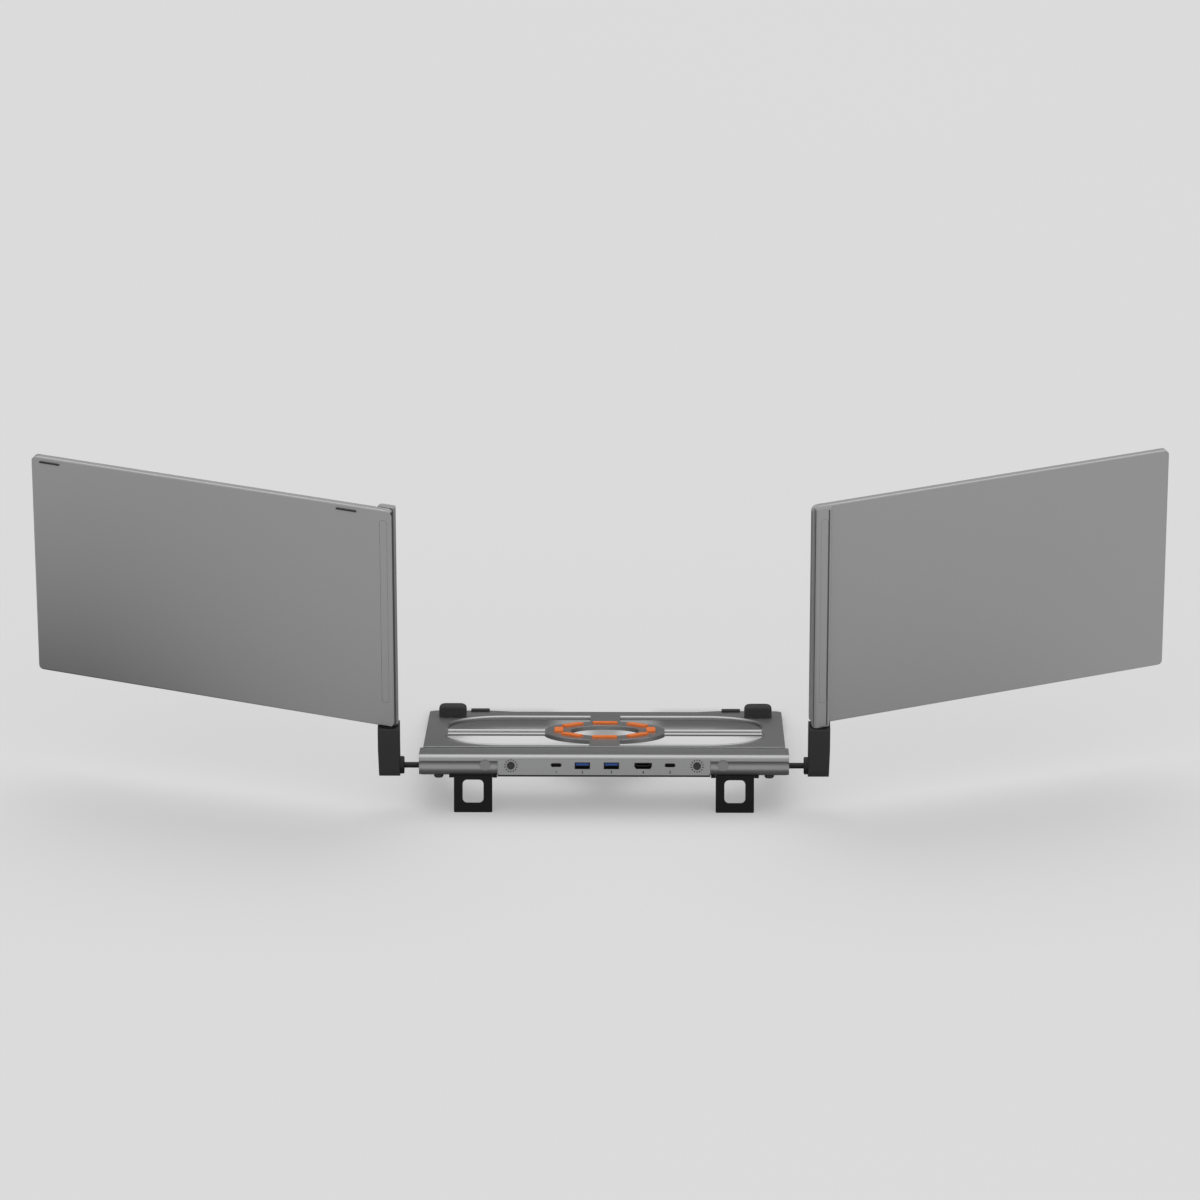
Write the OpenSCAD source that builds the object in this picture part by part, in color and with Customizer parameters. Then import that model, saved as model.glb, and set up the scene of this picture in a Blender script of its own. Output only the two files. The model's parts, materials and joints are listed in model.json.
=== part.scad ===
// Laptop screen extender: a ports bar with a thin laptop deck, two fold-out legs and two
// screens on sliding arms. Each arm has a tilt hinge on its rod and a swivel under its screen.
// Base frame of the deck: x to the right, u (Y) from the ports bar towards the user, v (Z) up
// from the bar's underside. Arm frame: n (Y) towards the user, w (Z) up along the spine.

/* [Ports bar] */
// Width of the ports bar
hub_w = 322; // [300:1:350]
// Depth of the ports bar
hub_d = 38.5; // [36:0.5:46]
// Height of the ports bar
hub_h = 18.6; // [18.2:0.1:20]
// Radius of the bead along the upper rear edge
bead_r = 4.4; // [3.5:0.1:4.8]
// How far the faces beside the port plate stand back from the bead
face_back = 1.4; // [0.8:0.1:1.8]
// Wall of the bar's shell
hub_wall = 1.8; // [1.2:0.1:2.2]
// Width of the flat port plate
port_plate_w = 185.2; // [184:0.2:200]
// Thickness of the port plate
port_plate_t = 2.4; // [1.8:0.1:2.6]

/* [Deck] */
// Width of the laptop deck
deck_w = 317; // [300:1:320]
// Distance from the bar's rear face to the deck's far edge
deck_reach = 254; // [248:1:262]
// Thickness of the deck plate
plate_t = 2.8; // [2:0.1:3]
// Width of the deck's side rails beside the large opening
side_rail_w = 19.5; // [17:0.5:30]
// Depth of the deck's far rail beyond the large opening
far_rail_w = 38; // [34:0.5:44]
// Corner radius of the large opening
opening_r = 50; // [30:1:60]
// Outer radius of the central ring
ring_r = 53.9; // [50:0.1:56]
// Radius of the hole in the central ring
ring_hole_r = 30.3; // [24:0.1:32]
// Thickness of the central ring
ring_t = 3.8; // [3:0.1:3.9]
// Width of the two bridges that carry the ring
bridge_w = 27; // [20:1:34]
// Number of grip pads on the ring
pad_count = 8; // [4:1:10]
// Length of one grip pad
pad_l = 22.4; // [16:0.1:24]
// Width of one grip pad
pad_w = 8.1; // [6:0.1:9]
// Height of one grip pad
pad_h = 2; // [1:0.1:3]

/* [Laptop stops] */
// Width of one laptop stop
stop_w = 24.6; // [16:0.1:28]
// Length of one laptop stop from near to far
stop_l = 16; // [12:0.5:24]
// Height of one laptop stop above the deck
stop_h = 9; // [6:0.5:12]

/* [Legs] */
// Distance from the bar's underside to the desk at the legs
leg_drop = 33; // [28:0.5:34]
// Width of one leg
leg_w = 33.4; // [24:0.2:40]
// Thickness of one leg
leg_t = 2.6; // [2:0.1:2.7]
// Distance of each leg's middle from the middle of the bar
leg_x = 114; // [104:0.5:120]

/* [Arms] */
// Radius of the sliding rod
rod_r = 2.5; // [2:0.1:2.7]
// How far the arms are drawn out at rest
arm_out = 12.5; // [1:0.5:30]
// Radius of the flange at the rod's outer end
flange_r = 7.65; // [6:0.05:8]
// Thickness of the flange at the rod's outer end
flange_t = 3.6; // [2.5:0.1:4]
// Width of the hinge block
block_w = 19; // [18:0.1:21]
// Depth of the hinge block
block_d = 19.2; // [17:0.1:20]
// Height of the hinge block above the rod's axis
block_top = 39; // [36:0.5:42]

/* [Screens] */
// Width of one screen, with the part that lies on its spine
screen_w = 337; // [320:1:338]
// Height of one screen
screen_h = 207; // [190:0.2:208]
// Thickness of one screen
screen_t = 6.2; // [5.6:0.1:6.4]
// Corner radius of one screen
screen_r = 6; // [3:0.5:9]
// Width of the spine along the inner edge
spine_w = 15.2; // [14:0.1:17]
// How far the left screen leans away from the user
left_lean = 6.8; // [0:0.1:12]
// How far the right screen leans away from the user
right_lean = 5.8; // [0:0.1:12]
// How far the left screen's outer end swings towards the user
left_swing = 19.8; // [0:0.1:35]
// How far the right screen's outer end swings towards the user
right_swing = 21.9; // [0:0.1:35]

/* [Hidden] */
$fn = 48;

// Shared clearances and the overrun of cuts
overrun = 1;
seat_gap = 0.15;
running_gap = 0.05;
slip_gap = 0.3;

// Colours
metal = [0.50, 0.51, 0.52];
dark_metal = [0.36, 0.37, 0.38];
steel = [0.30, 0.31, 0.32];
dark_plastic = [0.20, 0.21, 0.22];
black_plastic = [0.09, 0.09, 0.10];
orange_rubber = [0.90, 0.36, 0.09];
board_green = [0.08, 0.25, 0.14];
socket_blue = [0.06, 0.16, 0.48];

// The rod's axis in the base frame, and the space that the folded screens need
rod_u = 9.6;
rod_v = 7.9;
deck_u0 = hub_d + seat_gap;
plate_v = hub_h - plate_t;

// The edge bumpers that rest on the desk at the user's side
bumper_w = 16.8;
bumper_end = 45.5;
bumper_x = deck_w / 2 - bumper_end;
bumper_lip_t = 0.6;
bumper_lip_l = 8;
bumper_foot_l = 3;
bumper_face_t = 0.9;
bumper_foot_h = 1.05;
foot_u = deck_reach - bumper_foot_l;
foot_v = plate_v - bumper_foot_h;

// The legs' hinge
leg_pivot_u = 7;
leg_pivot_v = -1.4;
leg_barrel_r = 1.35;
leg_pin_r = 0.8;
leg_ear_w = 4;
leg_ear_d = 6.2;
leg_ear_u = 4.9;
leg_ear_h = 2.8;
leg_bar_h = 8;
leg_window_w = 18.2;
leg_window_h = 20.5;
leg_window_r = 4;

// The deck's slope follows from the legs' length and the bumpers' feet
deck_tilt = atan((foot_v + leg_drop) / (foot_u - leg_pivot_u));
base_z = leg_pivot_u * sin(deck_tilt) + leg_drop * cos(deck_tilt);

// The screens in the arm frame
depth_gap = 0.3;
spine_t = 6.6;
screen_lift = 1.2;
screen_w0 = block_top + screen_lift;
spine_in = spine_w / 2;
screen_out = screen_w - spine_in;
screen_top = screen_w0 + screen_h;
block_x = hub_w / 2 + slip_gap + arm_out + flange_t + 2 * running_gap + block_w / 2;

// The origin stands on the desk in the middle of the object's depth
far_y = (deck_reach + bumper_face_t) * cos(deck_tilt) + hub_h * sin(deck_tilt);
near_y = rod_u * cos(deck_tilt) + rod_v * sin(deck_tilt) - screen_top * sin(left_lean)
    - (depth_gap + screen_t) * cos(left_swing) - spine_in * sin(left_swing);
base_y = -(far_y + near_y) / 2;

// The places of the ports and dials along the port plate
port_v = 8.8;
usb_c_x = [-41.6, 57.5];
usb_c_v = 9.4;
usb_c_w = 9.2;
usb_c_h = 3.3;
usb_c_l = 8;
usb_a_x = [-18.8, 6.5];
usb_a_w = 13.3;
usb_a_h = 5.9;
usb_a_l = 14;
hdmi_x = 34.1;
hdmi_w = 15.2;
hdmi_h = 5.5;
hdmi_l = 12;
dial_end = 11.6;
dial_x = port_plate_w / 2 - dial_end;
dial_r = 3.2;
dial_out = 1.2;
dial_shaft_r = 1;
socket_wall = 0.35;
socket_step = 0.2;
socket_u = 0.5;

// The inside of the ports bar
hub_front_u = 4;
// cove and lower curve of the ends, and the tighter ones behind the port plate
end_cove_r = 8;
end_low_r = 6.5;
mid_cove_r = 3;
mid_low_r = 3.4;
lip_t = 2.2;
lip_u0 = 6;
cover_t = 2;
cover_d = hub_d - hub_wall - lip_u0 - 2 * seat_gap;
cover_screw_end = 11;
cover_screw_mid = 60;
cover_screw_x = [
    cover_screw_end - hub_w / 2,
    -cover_screw_mid,
    cover_screw_mid,
    hub_w / 2 - cover_screw_end
];
cover_screw_u = 31.5;
screw_r = 1.45;
pilot_gap = 0.05;
boss_r = 3.2;
screw_head_r = 2.7;
board_end = 6.6;
board_w = port_plate_w - 2 * board_end;
board_d = 23.4;
board_u = 4.4;
board_v = 4;
board_t = 1.6;
post_r = 2;
post_x = [-70, 0, 70];
board_top = board_v + board_t;

// A rounded rectangle about the origin
module rounded_rect(w, h, r) {
    square([w - 2 * r, h], center = true);
    square([w, h - 2 * r], center = true);
    for (i = [-1, 1], j = [-1, 1])
        translate([i * (w / 2 - r), j * (h / 2 - r)])
            circle(r);
}

// A profile drawn in the u-v plane, extruded along x
module along_x(l)
    rotate([90, 0, 90])
        linear_extrude(l, center = true)
            children();

// A profile drawn in the x-v plane, extruded along u from 0 to l
module along_u(l)
    translate([0, l, 0])
        rotate([90, 0, 0])
            linear_extrude(l)
                children();

// A cylinder along x about the origin
module x_rod(r, l)
    rotate([0, 90, 0])
        cylinder(h = l, r = r, center = true);

// A cylinder along u from 0 to l
module u_rod(r, l)
    rotate([-90, 0, 0])
        cylinder(h = l, r = r);

// The base frame, tilted so that legs and bumpers stand on the desk
module in_base()
    translate([0, base_y, base_z])
        rotate([-deck_tilt, 0, 0])
            children();

// The arm frame of one side: 1 is right, -1 is left
module in_arm(side)
    in_base()
        translate([side * block_x, rod_u, rod_v])
            rotate([deck_tilt + (side > 0 ? right_lean : left_lean), 0, 0])
                children();

// The screen frame of one side, turned about the spine
module in_screen(side)
    in_arm(side)
        rotate([0, 0, side * (side > 0 ? right_swing : left_swing)])
            children();

// Outside of the ports bar: bead, cove, standing face and lower curve
module hub_outline(cove, low) {
    cove_u = face_back - cove;
    cove_drop = sqrt(pow(bead_r + cove, 2) - pow(bead_r - cove_u, 2));
    cove_v = hub_h - bead_r - cove_drop;
    cove_turn = asin(cove_drop / (bead_r + cove));
    difference() {
        union() {
            translate([bead_r, hub_h - bead_r])
                circle(bead_r, $fn = 96);
            translate([bead_r, low])
                square([hub_d - bead_r, hub_h - low]);
            translate([face_back, low])
                square([hub_d - face_back, cove_v - low]);
            translate([0, cove_v])
                square([bead_r, hub_h - bead_r - cove_v]);
            translate([face_back + low, 0])
                square([hub_d - face_back - low, hub_h - bead_r]);
            translate([face_back + low, low])
                circle(low, $fn = 96);
        }
        // the cove meets the bead where the line between their centres crosses it
        translate([cove_u, cove_v])
            circle(cove, $fn = 128);
        polygon([
            [-overrun, hub_h - bead_r],
            [0, hub_h - bead_r],
            for (a = [1 : 8]) bead_r * [
                1 - cos(a / 8 * cove_turn),
                -sin(a / 8 * cove_turn)
            ] + [0, hub_h - bead_r],
            [cove_u, cove_v],
            [-overrun, cove_v]
        ]);
    }
}

// Outline of the port plate and of its seat, in the x-v plane
plate_low = 0.6;
port_plate_h = hub_h - bead_r - plate_low;
port_plate_r = 2;
module port_plate_outline(extra)
    translate([0, plate_low + port_plate_h / 2])
        rounded_rect(port_plate_w + 2 * extra, port_plate_h + 2 * extra, port_plate_r);

// Space inside the bar, above the lip that frames the bottom cover
module hub_space() {
    translate([hub_front_u, lip_t])
        square([hub_d - hub_wall - hub_front_u, hub_h - hub_wall - lip_t]);
    translate([lip_u0, -overrun])
        square([hub_d - hub_wall - lip_u0, hub_h / 2]);
}

// Screw bosses that hang from the roof of the bar
module cover_bosses()
    for (x = cover_screw_x)
        translate([x, cover_screw_u, cover_t + running_gap])
            cylinder(h = hub_h - hub_wall - cover_t, r = boss_r);

deck_screw_end = 26.5;
deck_screw_x = [for (i = [-2 : 2]) i / 2 * (deck_w / 2 - deck_screw_end)];
flange_plate_t = 3;
flange_low_v = 7.5;
deck_screw_v = 11;
deck_screw_in = 5;
module deck_bosses()
    for (x = deck_screw_x)
        translate([x, hub_d - hub_wall - deck_screw_in, deck_screw_v])
            u_rod(boss_r, deck_screw_in + hub_wall / 2);

plug_off = 10.9;
plug_x = port_plate_w / 2 + plug_off;
plug_v = 9.3;
plug_r = 4.8;
plug_t = 1.2;
window_margin = 3.4;

module hub_shell() {
    color(metal)
    in_base()
    difference() {
        union() {
            difference() {
                union() {
                    along_x(hub_w)
                        hub_outline(end_cove_r, end_low_r);
                    along_x(port_plate_w)
                        hub_outline(mid_cove_r, mid_low_r);
                }
                along_x(hub_w - 2 * hub_wall)
                    hub_space();
            }
            cover_bosses();
            deck_bosses();
        }
        // seat of the port plate and the window behind it
        translate([0, -overrun, 0])
            along_u(overrun + port_plate_t + running_gap)
                port_plate_outline(running_gap);
        translate([0, -overrun, 0])
            along_u(hub_front_u + 2 * overrun)
                translate([0, plate_low + port_plate_h / 2])
                    square([port_plate_w - 2 * window_margin, port_plate_h - window_margin], center = true);
        // rods pass through both ends
        translate([0, rod_u, rod_v])
            x_rod(rod_r + running_gap, hub_w + 2 * overrun);
        for (side = [-1, 1])
            translate([side * plug_x, -overrun, plug_v])
                u_rod(plug_r + running_gap, overrun + face_back + plug_t);
        for (x = cover_screw_x)
            translate([x, cover_screw_u, 0])
                cylinder(h = hub_h - hub_wall - overrun, r = screw_r + pilot_gap);
        for (x = deck_screw_x)
            translate([x, hub_d - hub_wall - deck_screw_in + overrun, deck_screw_v])
                u_rod(screw_r + pilot_gap, deck_screw_in + hub_wall);
    }
}

screw_head_t = 1.2;
module hub_bottom_cover() {
    color(dark_metal)
    in_base()
    difference() {
        union() {
            translate([0, lip_u0 + seat_gap + cover_d / 2, 0])
                linear_extrude(cover_t)
                    square([hub_w - 2 * hub_wall - 2 * seat_gap, cover_d], center = true);
            for (x = post_x)
                translate([x, cover_screw_u - boss_r - post_r, cover_t])
                    cylinder(h = board_v - cover_t - running_gap, r = post_r);
        }
        for (x = cover_screw_x) {
            translate([x, cover_screw_u, -overrun])
                cylinder(h = cover_t + 2 * overrun, r = screw_r + seat_gap);
            translate([x, cover_screw_u, -overrun])
                cylinder(h = overrun + screw_head_t + pilot_gap, r = screw_head_r + seat_gap);
        }
    }
}

// Openings of the ports, drawn on the plate, each larger by a gap
module usb_c_outline(extra)
    rounded_rect(usb_c_w + 2 * extra, usb_c_h + 2 * extra, usb_c_h / 2 - pilot_gap);
module usb_a_outline(extra)
    square([usb_a_w + 2 * extra, usb_a_h + 2 * extra], center = true);
// A trapezium with its short side below
hdmi_share = 0.8;
module hdmi_outline(extra) {
    w = hdmi_w / 2 + extra;
    h = hdmi_h / 2 + extra;
    polygon([[-w, h], [-w, -h / 4], [-w * hdmi_share, -h], [w * hdmi_share, -h], [w, -h / 4], [w, h]]);
}

mark_r = 5.6;
mark_dot_r = 0.3;
mark_deep = 0.2;
mark_count = 14;
module port_plate() {
    color(metal)
    in_base()
    difference() {
        along_u(port_plate_t)
            port_plate_outline(0);
        translate([0, -overrun, 0])
            along_u(port_plate_t + 2 * overrun) {
                for (x = usb_c_x)
                    translate([x, usb_c_v])
                        usb_c_outline(running_gap);
                for (x = usb_a_x)
                    translate([x, port_v])
                        usb_a_outline(running_gap);
                translate([hdmi_x, port_v])
                    hdmi_outline(running_gap);
            }
        for (side = [-1, 1])
            translate([side * dial_x, -overrun, port_v]) {
                u_rod(dial_r + seat_gap, port_plate_t + 2 * overrun);
                // a ring of small dots round each dial
                for (i = [0 : mark_count - 1])
                    rotate([0, 360 * i / mark_count, 0])
                        translate([0, 0, mark_r])
                            u_rod(mark_dot_r, overrun + mark_deep);
            }
    }
}

module main_circuit_board() {
    color(board_green)
    in_base()
    translate([-board_w / 2, board_u, board_v])
        cube([board_w, board_d, board_t]);
}

// A sheet-metal socket: a tube of the outline with a floor at its far end
module socket_shell(l, share_x, share_v) {
    difference() {
        along_u(l)
            children();
        translate([0, -overrun, 0])
            along_u(l + overrun - socket_wall)
                scale([share_x, share_v])
                    children();
    }
}

// Two short feet that carry a socket on the board
socket_foot_d = 2;
module socket_feet(w, low, l)
    for (side = [-1, 1])
        translate([side * (w / 2 - socket_foot_d / 2) - socket_foot_d / 2, l - 2 * socket_foot_d, board_top])
            cube([socket_foot_d, socket_foot_d, low - board_top + socket_wall / 2]);

module usb_c_sockets() {
    color(steel)
    in_base()
    for (x = usb_c_x) {
        translate([x, socket_u, usb_c_v])
            socket_shell(usb_c_l, 1 - 2 * socket_wall / usb_c_w, 1 - 2 * socket_wall / usb_c_h)
                usb_c_outline(0);
        translate([x, socket_u, 0])
            socket_feet(usb_c_w - usb_c_h, usb_c_v - usb_c_h / 2, usb_c_l);
    }
}

module usb_a_sockets() {
    color(steel)
    in_base()
    for (x = usb_a_x) {
        translate([x, socket_u, port_v])
            socket_shell(usb_a_l, 1 - 2 * socket_wall / usb_a_w, 1 - 2 * socket_wall / usb_a_h)
                usb_a_outline(0);
        translate([x, socket_u, 0])
            socket_feet(usb_a_w, port_v - usb_a_h / 2, usb_a_l);
    }
}

module hdmi_socket() {
    color(steel)
    in_base() {
        translate([hdmi_x, socket_u, port_v])
            socket_shell(hdmi_l, 1 - 2 * socket_wall / hdmi_w, 1 - 2 * socket_wall / hdmi_h)
                hdmi_outline(0);
        translate([hdmi_x, socket_u, 0])
            socket_feet(hdmi_w * hdmi_share, port_v - hdmi_h / 2, hdmi_l);
    }
}

// A contact tongue inside a socket, held at the socket's floor
module tongue(w, t, l, socket_l)
    translate([-w / 2, socket_u + socket_l - socket_wall - l, -t / 2])
        cube([w, l, t]);

usb_c_tongue = [6.2, 0.7, 6];
usb_a_tongue = [11.4, 1.9, 12.6];
usb_a_tongue_up = 1.1;
hdmi_tongue_size = [11, 1.1, 10];

module usb_c_tongues() {
    color(black_plastic)
    in_base()
    for (x = usb_c_x)
        translate([x, 0, usb_c_v])
            tongue(usb_c_tongue[0], usb_c_tongue[1], usb_c_tongue[2], usb_c_l);
}

module usb_a_tongues() {
    color(socket_blue)
    in_base()
    for (x = usb_a_x)
        translate([x, 0, port_v + usb_a_tongue_up])
            tongue(usb_a_tongue[0], usb_a_tongue[1], usb_a_tongue[2], usb_a_l);
}

module hdmi_tongue() {
    color(black_plastic)
    in_base()
    translate([hdmi_x, 0, port_v])
        tongue(hdmi_tongue_size[0], hdmi_tongue_size[1], hdmi_tongue_size[2], hdmi_l);
}

// Rotary encoders behind the dials, standing on the board
encoder_w = 9.6;
encoder_d = 5.4;
encoder_u = 4.6;
encoder_h = 7.2;
shaft_in = 3;
module dial_encoders() {
    color(dark_plastic)
    in_base()
    for (side = [-1, 1])
        difference() {
            translate([side * dial_x - encoder_w / 2, encoder_u, board_top])
                cube([encoder_w, encoder_d, encoder_h]);
            translate([side * dial_x, encoder_u - overrun, port_v])
                u_rod(dial_shaft_r + running_gap, overrun + shaft_in + seat_gap);
        }
}

// A dial knob with finger grooves, a slot across its face and a shaft
groove_count = 12;
groove_r = 0.35;
knob_in = 1.6;
slot_w = 0.6;
module dial(side) {
    color(black_plastic)
    in_base()
    translate([side * dial_x, -dial_out, port_v])
    difference() {
        union() {
            u_rod(dial_r, dial_out + knob_in);
            u_rod(dial_shaft_r, dial_out + encoder_u + shaft_in);
        }
        for (i = [0 : groove_count - 1])
            rotate([0, 360 * i / groove_count, 0])
                translate([0, -overrun, dial_r + groove_r / 2])
                    u_rod(groove_r, overrun + dial_out);
        translate([-slot_w / 2, -overrun, dial_r / 4])
            cube([slot_w, overrun + slot_w, dial_r]);
    }
}
module left_dial() dial(-1);
module right_dial() dial(1);

// Guides that carry the rods inside the bar, two for each rod
guide_l = [8, 7];
guide_in = 24;
guide_x = [hub_w / 2 - hub_wall - seat_gap - guide_l[0] / 2, hub_w / 2 - guide_in];
guide_w = 9;
guide_h = 12.3;
module rod_guides() {
    color(black_plastic)
    in_base()
    for (side = [-1, 1], i = [0, 1])
        difference() {
            translate([side * guide_x[i] - guide_l[i] / 2, rod_u - guide_w / 2 + seat_gap, lip_t + running_gap])
                cube([guide_l[i], guide_w, guide_h]);
            translate([side * guide_x[i], rod_u, rod_v])
                x_rod(rod_r + running_gap, guide_l[i] + 2 * overrun);
        }
}

hub_foot_r = 4.15;
hub_foot_h = 3.2;
hub_foot_end = 17;
hub_foot_x = hub_w / 2 - hub_foot_end;
hub_foot_u = 11;
module hub_feet() {
    color(dark_plastic)
    in_base()
    for (side = [-1, 1])
        translate([side * hub_foot_x, hub_foot_u, 0])
            rotate([180, 0, 0])
                rotate_extrude()
                    difference() {
                        square([hub_foot_r, hub_foot_h]);
                        // the lower edge is eased
                        translate([hub_foot_r, hub_foot_h])
                            rotate(45)
                                square(hub_foot_h / 2, center = true);
                    }
}

module screw_plugs() {
    color(dark_plastic)
    in_base()
    for (side = [-1, 1])
        translate([side * plug_x, face_back, plug_v])
            u_rod(plug_r, plug_t - running_gap);
}

// A countersunk-free flat head screw along z, its head below
module flat_screw(l) {
    cylinder(h = screw_head_t, r = screw_head_r);
    cylinder(h = l, r = screw_r);
}

cover_screw_l = 9;
module cover_screws() {
    color(steel)
    in_base()
    for (x = cover_screw_x)
        translate([x, cover_screw_u, 0])
            flat_screw(cover_screw_l);
}

module deck_screws() {
    color(steel)
    in_base()
    for (x = deck_screw_x)
        translate([x, deck_u0 + flange_plate_t + screw_head_t, deck_screw_v])
            rotate([90, 0, 0])
                flat_screw(flange_plate_t + screw_head_t + deck_screw_in);
}

// The large opening, with the cross bar and the ring in its middle
opening_near_u = 56;
opening_w = deck_w - 2 * side_rail_w;
opening_d = deck_reach - far_rail_w - opening_near_u;
opening_u = opening_near_u + opening_d / 2;
ring_off = 1;
bar_u = opening_u - ring_off;
bar_d = 22;
bar_groove_w = 1.6;
bar_groove_deep = 0.8;
ring_u = opening_u + ring_off;
module opening_outline()
    translate([0, opening_u])
        rounded_rect(opening_w, opening_d, opening_r);

// Outline of the deck with rounded far corners and a shallow scallop for the fingers
deck_corner_r = 8;
scallop_deep = 6.5;
scallop_w = 164;
scallop_run = 24;
module deck_outline()
    difference() {
        union() {
            translate([-deck_w / 2, deck_u0])
                square([deck_w, deck_reach - deck_u0 - deck_corner_r]);
            translate([0, deck_reach - 2 * deck_corner_r])
                rounded_rect(deck_w, 4 * deck_corner_r, deck_corner_r);
        }
        polygon([
            [-scallop_w / 2, deck_reach - scallop_deep],
            [scallop_w / 2, deck_reach - scallop_deep],
            [scallop_w / 2 + scallop_run, deck_reach + overrun],
            [-scallop_w / 2 - scallop_run, deck_reach + overrun]
        ]);
    }

module deck_frame() {
    color(metal)
    in_base()
    difference() {
        union() {
            difference() {
                union() {
                    translate([0, 0, plate_v])
                        linear_extrude(plate_t)
                            deck_outline();
                    // flange that screws to the bar
                    translate([-deck_w / 2, deck_u0, flange_low_v])
                        cube([deck_w, flange_plate_t, hub_h - flange_low_v - plate_t / 2]);
                }
                // open on both sides of the cross bar
                translate([0, 0, plate_v - overrun])
                    linear_extrude(plate_t + 2 * overrun)
                        difference() {
                            opening_outline();
                            translate([-deck_w / 2, bar_u - bar_d / 2])
                                square([deck_w, bar_d]);
                        }
                // a groove along the cross bar
                translate([-opening_w / 2, bar_u - bar_d / 2 + bar_d / 3, hub_h - bar_groove_deep])
                    cube([opening_w, bar_groove_w, bar_groove_deep + overrun]);
            }
            translate([0, ring_u, hub_h - ring_t])
                cylinder(h = ring_t, r = ring_r, $fn = 96);
            // the bridges
            translate([-bridge_w / 2, opening_near_u - overrun, plate_v])
                cube([bridge_w, opening_d + 2 * overrun, plate_t]);
        }
        translate([0, ring_u, hub_h - ring_t - overrun])
            cylinder(h = ring_t + 2 * overrun, r = ring_hole_r, $fn = 96);
        for (x = deck_screw_x)
            translate([x, deck_u0 - overrun, deck_screw_v])
                u_rod(screw_r + seat_gap, flange_plate_t + 2 * overrun);
    }
}

pad_r = 2.5;
pad_ring_r = 40.8;
module ring_pads() {
    color(orange_rubber)
    in_base()
    translate([0, ring_u, hub_h])
        for (i = [0 : pad_count - 1])
            rotate([0, 0, 360 * i / pad_count])
                translate([0, pad_ring_r, 0])
                    linear_extrude(pad_h)
                        rounded_rect(pad_l, pad_w, pad_r);
}

stop_end = 21.5;
stop_x = deck_w / 2 - stop_end;
stop_set = 3;
stop_u = deck_reach - far_rail_w + stop_set;
stop_r = 4.8;
module laptop_stops() {
    color(dark_plastic)
    in_base()
    for (side = [-1, 1])
        translate([side * stop_x, stop_u, hub_h])
            intersection() {
                // seen from the bar: rounded upper corners
                along_u(stop_l) {
                    rounded_rect(stop_w, 2 * stop_h, stop_r);
                }
                // seen from the side: a rounded crown
                along_x(stop_w) {
                    translate([stop_l / 2, 0])
                        rounded_rect(stop_l, 2 * stop_h, stop_r);
                }
                translate([-stop_w, -overrun, 0])
                    cube([2 * stop_w, stop_l + 2 * overrun, stop_h]);
            }
}

// Rubber clips over the far edge, cut flat where they stand on the desk
module edge_bumpers() {
    color(dark_plastic)
    in_base()
    for (side = [-1, 1])
        translate([side * bumper_x, 0, 0])
            along_x(bumper_w) {
                rise = tan(deck_tilt);
                polygon([
                    [deck_reach - bumper_lip_l, hub_h],
                    [deck_reach - bumper_lip_l, hub_h + bumper_lip_t],
                    [deck_reach + bumper_face_t, hub_h + bumper_lip_t],
                    [deck_reach + bumper_face_t, foot_v + (bumper_foot_l + bumper_face_t) * rise],
                    [foot_u, foot_v],
                    [foot_u, plate_v],
                    [deck_reach, plate_v],
                    [deck_reach, hub_h]
                ]);
            }
}

module leg_brackets() {
    color(black_plastic)
    in_base()
    for (side = [-1, 1], ear = [-1, 1])
        difference() {
            translate([side * leg_x + ear * (leg_w / 2 + seat_gap + leg_ear_w / 2), leg_ear_u + leg_ear_d / 2, 0])
                along_x(leg_ear_w)
                    intersection() {
                        rounded_rect(leg_ear_d, 2 * leg_ear_h, leg_pivot_u - leg_ear_u);
                        translate([-leg_ear_d, -leg_ear_h])
                            square([2 * leg_ear_d, leg_ear_h]);
                    }
            translate([side * leg_x, leg_pivot_u, leg_pivot_v])
                x_rod(leg_pin_r + running_gap / 2, leg_w + 4 * leg_ear_w);
        }
}

module leg_pins() {
    color(steel)
    in_base()
    for (side = [-1, 1])
        translate([side * leg_x, leg_pivot_u, leg_pivot_v])
            x_rod(leg_pin_r, leg_w + 2 * leg_ear_w);
}

// A leg with a rounded window, its end cut level with the desk
leg_end_r = 1;
module leg(side) {
    reach = leg_drop + leg_pivot_v;
    end_rise = leg_t / 2 * tan(deck_tilt);
    color(black_plastic)
    in_base()
    translate([side * leg_x, leg_pivot_u, leg_pivot_v])
    difference() {
        union() {
            x_rod(leg_barrel_r, leg_w);
            intersection() {
                translate([0, -leg_t, 0])
                    along_u(2 * leg_t)
                        translate([0, -reach - end_rise])
                            union() {
                                translate([0, reach / 2])
                                    rounded_rect(leg_w, reach, leg_end_r);
                                translate([-leg_w / 2, reach / 2])
                                    square([leg_w, reach / 2 + end_rise]);
                            }
                along_x(leg_w)
                    polygon([
                        [-leg_t / 2, 0],
                        [-leg_t / 2, -reach - end_rise],
                        [leg_t / 2, -reach + end_rise],
                        [leg_t / 2, 0]
                    ]);
            }
        }
        translate([0, -leg_t, leg_bar_h - reach + leg_window_h / 2])
            along_u(2 * leg_t)
                rounded_rect(leg_window_w, leg_window_h, leg_window_r);
        x_rod(leg_pin_r + running_gap, leg_w + 2 * overrun);
    }
}
module left_leg() leg(-1);
module right_leg() leg(1);

// The sliding rods: tubes that carry the wires, with a flange at the block's face
rod_clear = 1.5;
rod_inner_x = board_w / 2 + rod_clear + arm_out;
rod_bore_r = 1.3;
rod_through = 8.6;
clip_r = 4;
clip_t = 1.2;
clip_set = 1;
block_in = block_x - block_w / 2;
rod_end_x = block_in + rod_through;

// A frame on the rod's axis of one side, x pointing outwards
module on_rod(side)
    in_base()
        mirror([side < 0 ? 1 : 0, 0, 0])
            translate([0, rod_u, rod_v])
                children();

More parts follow.
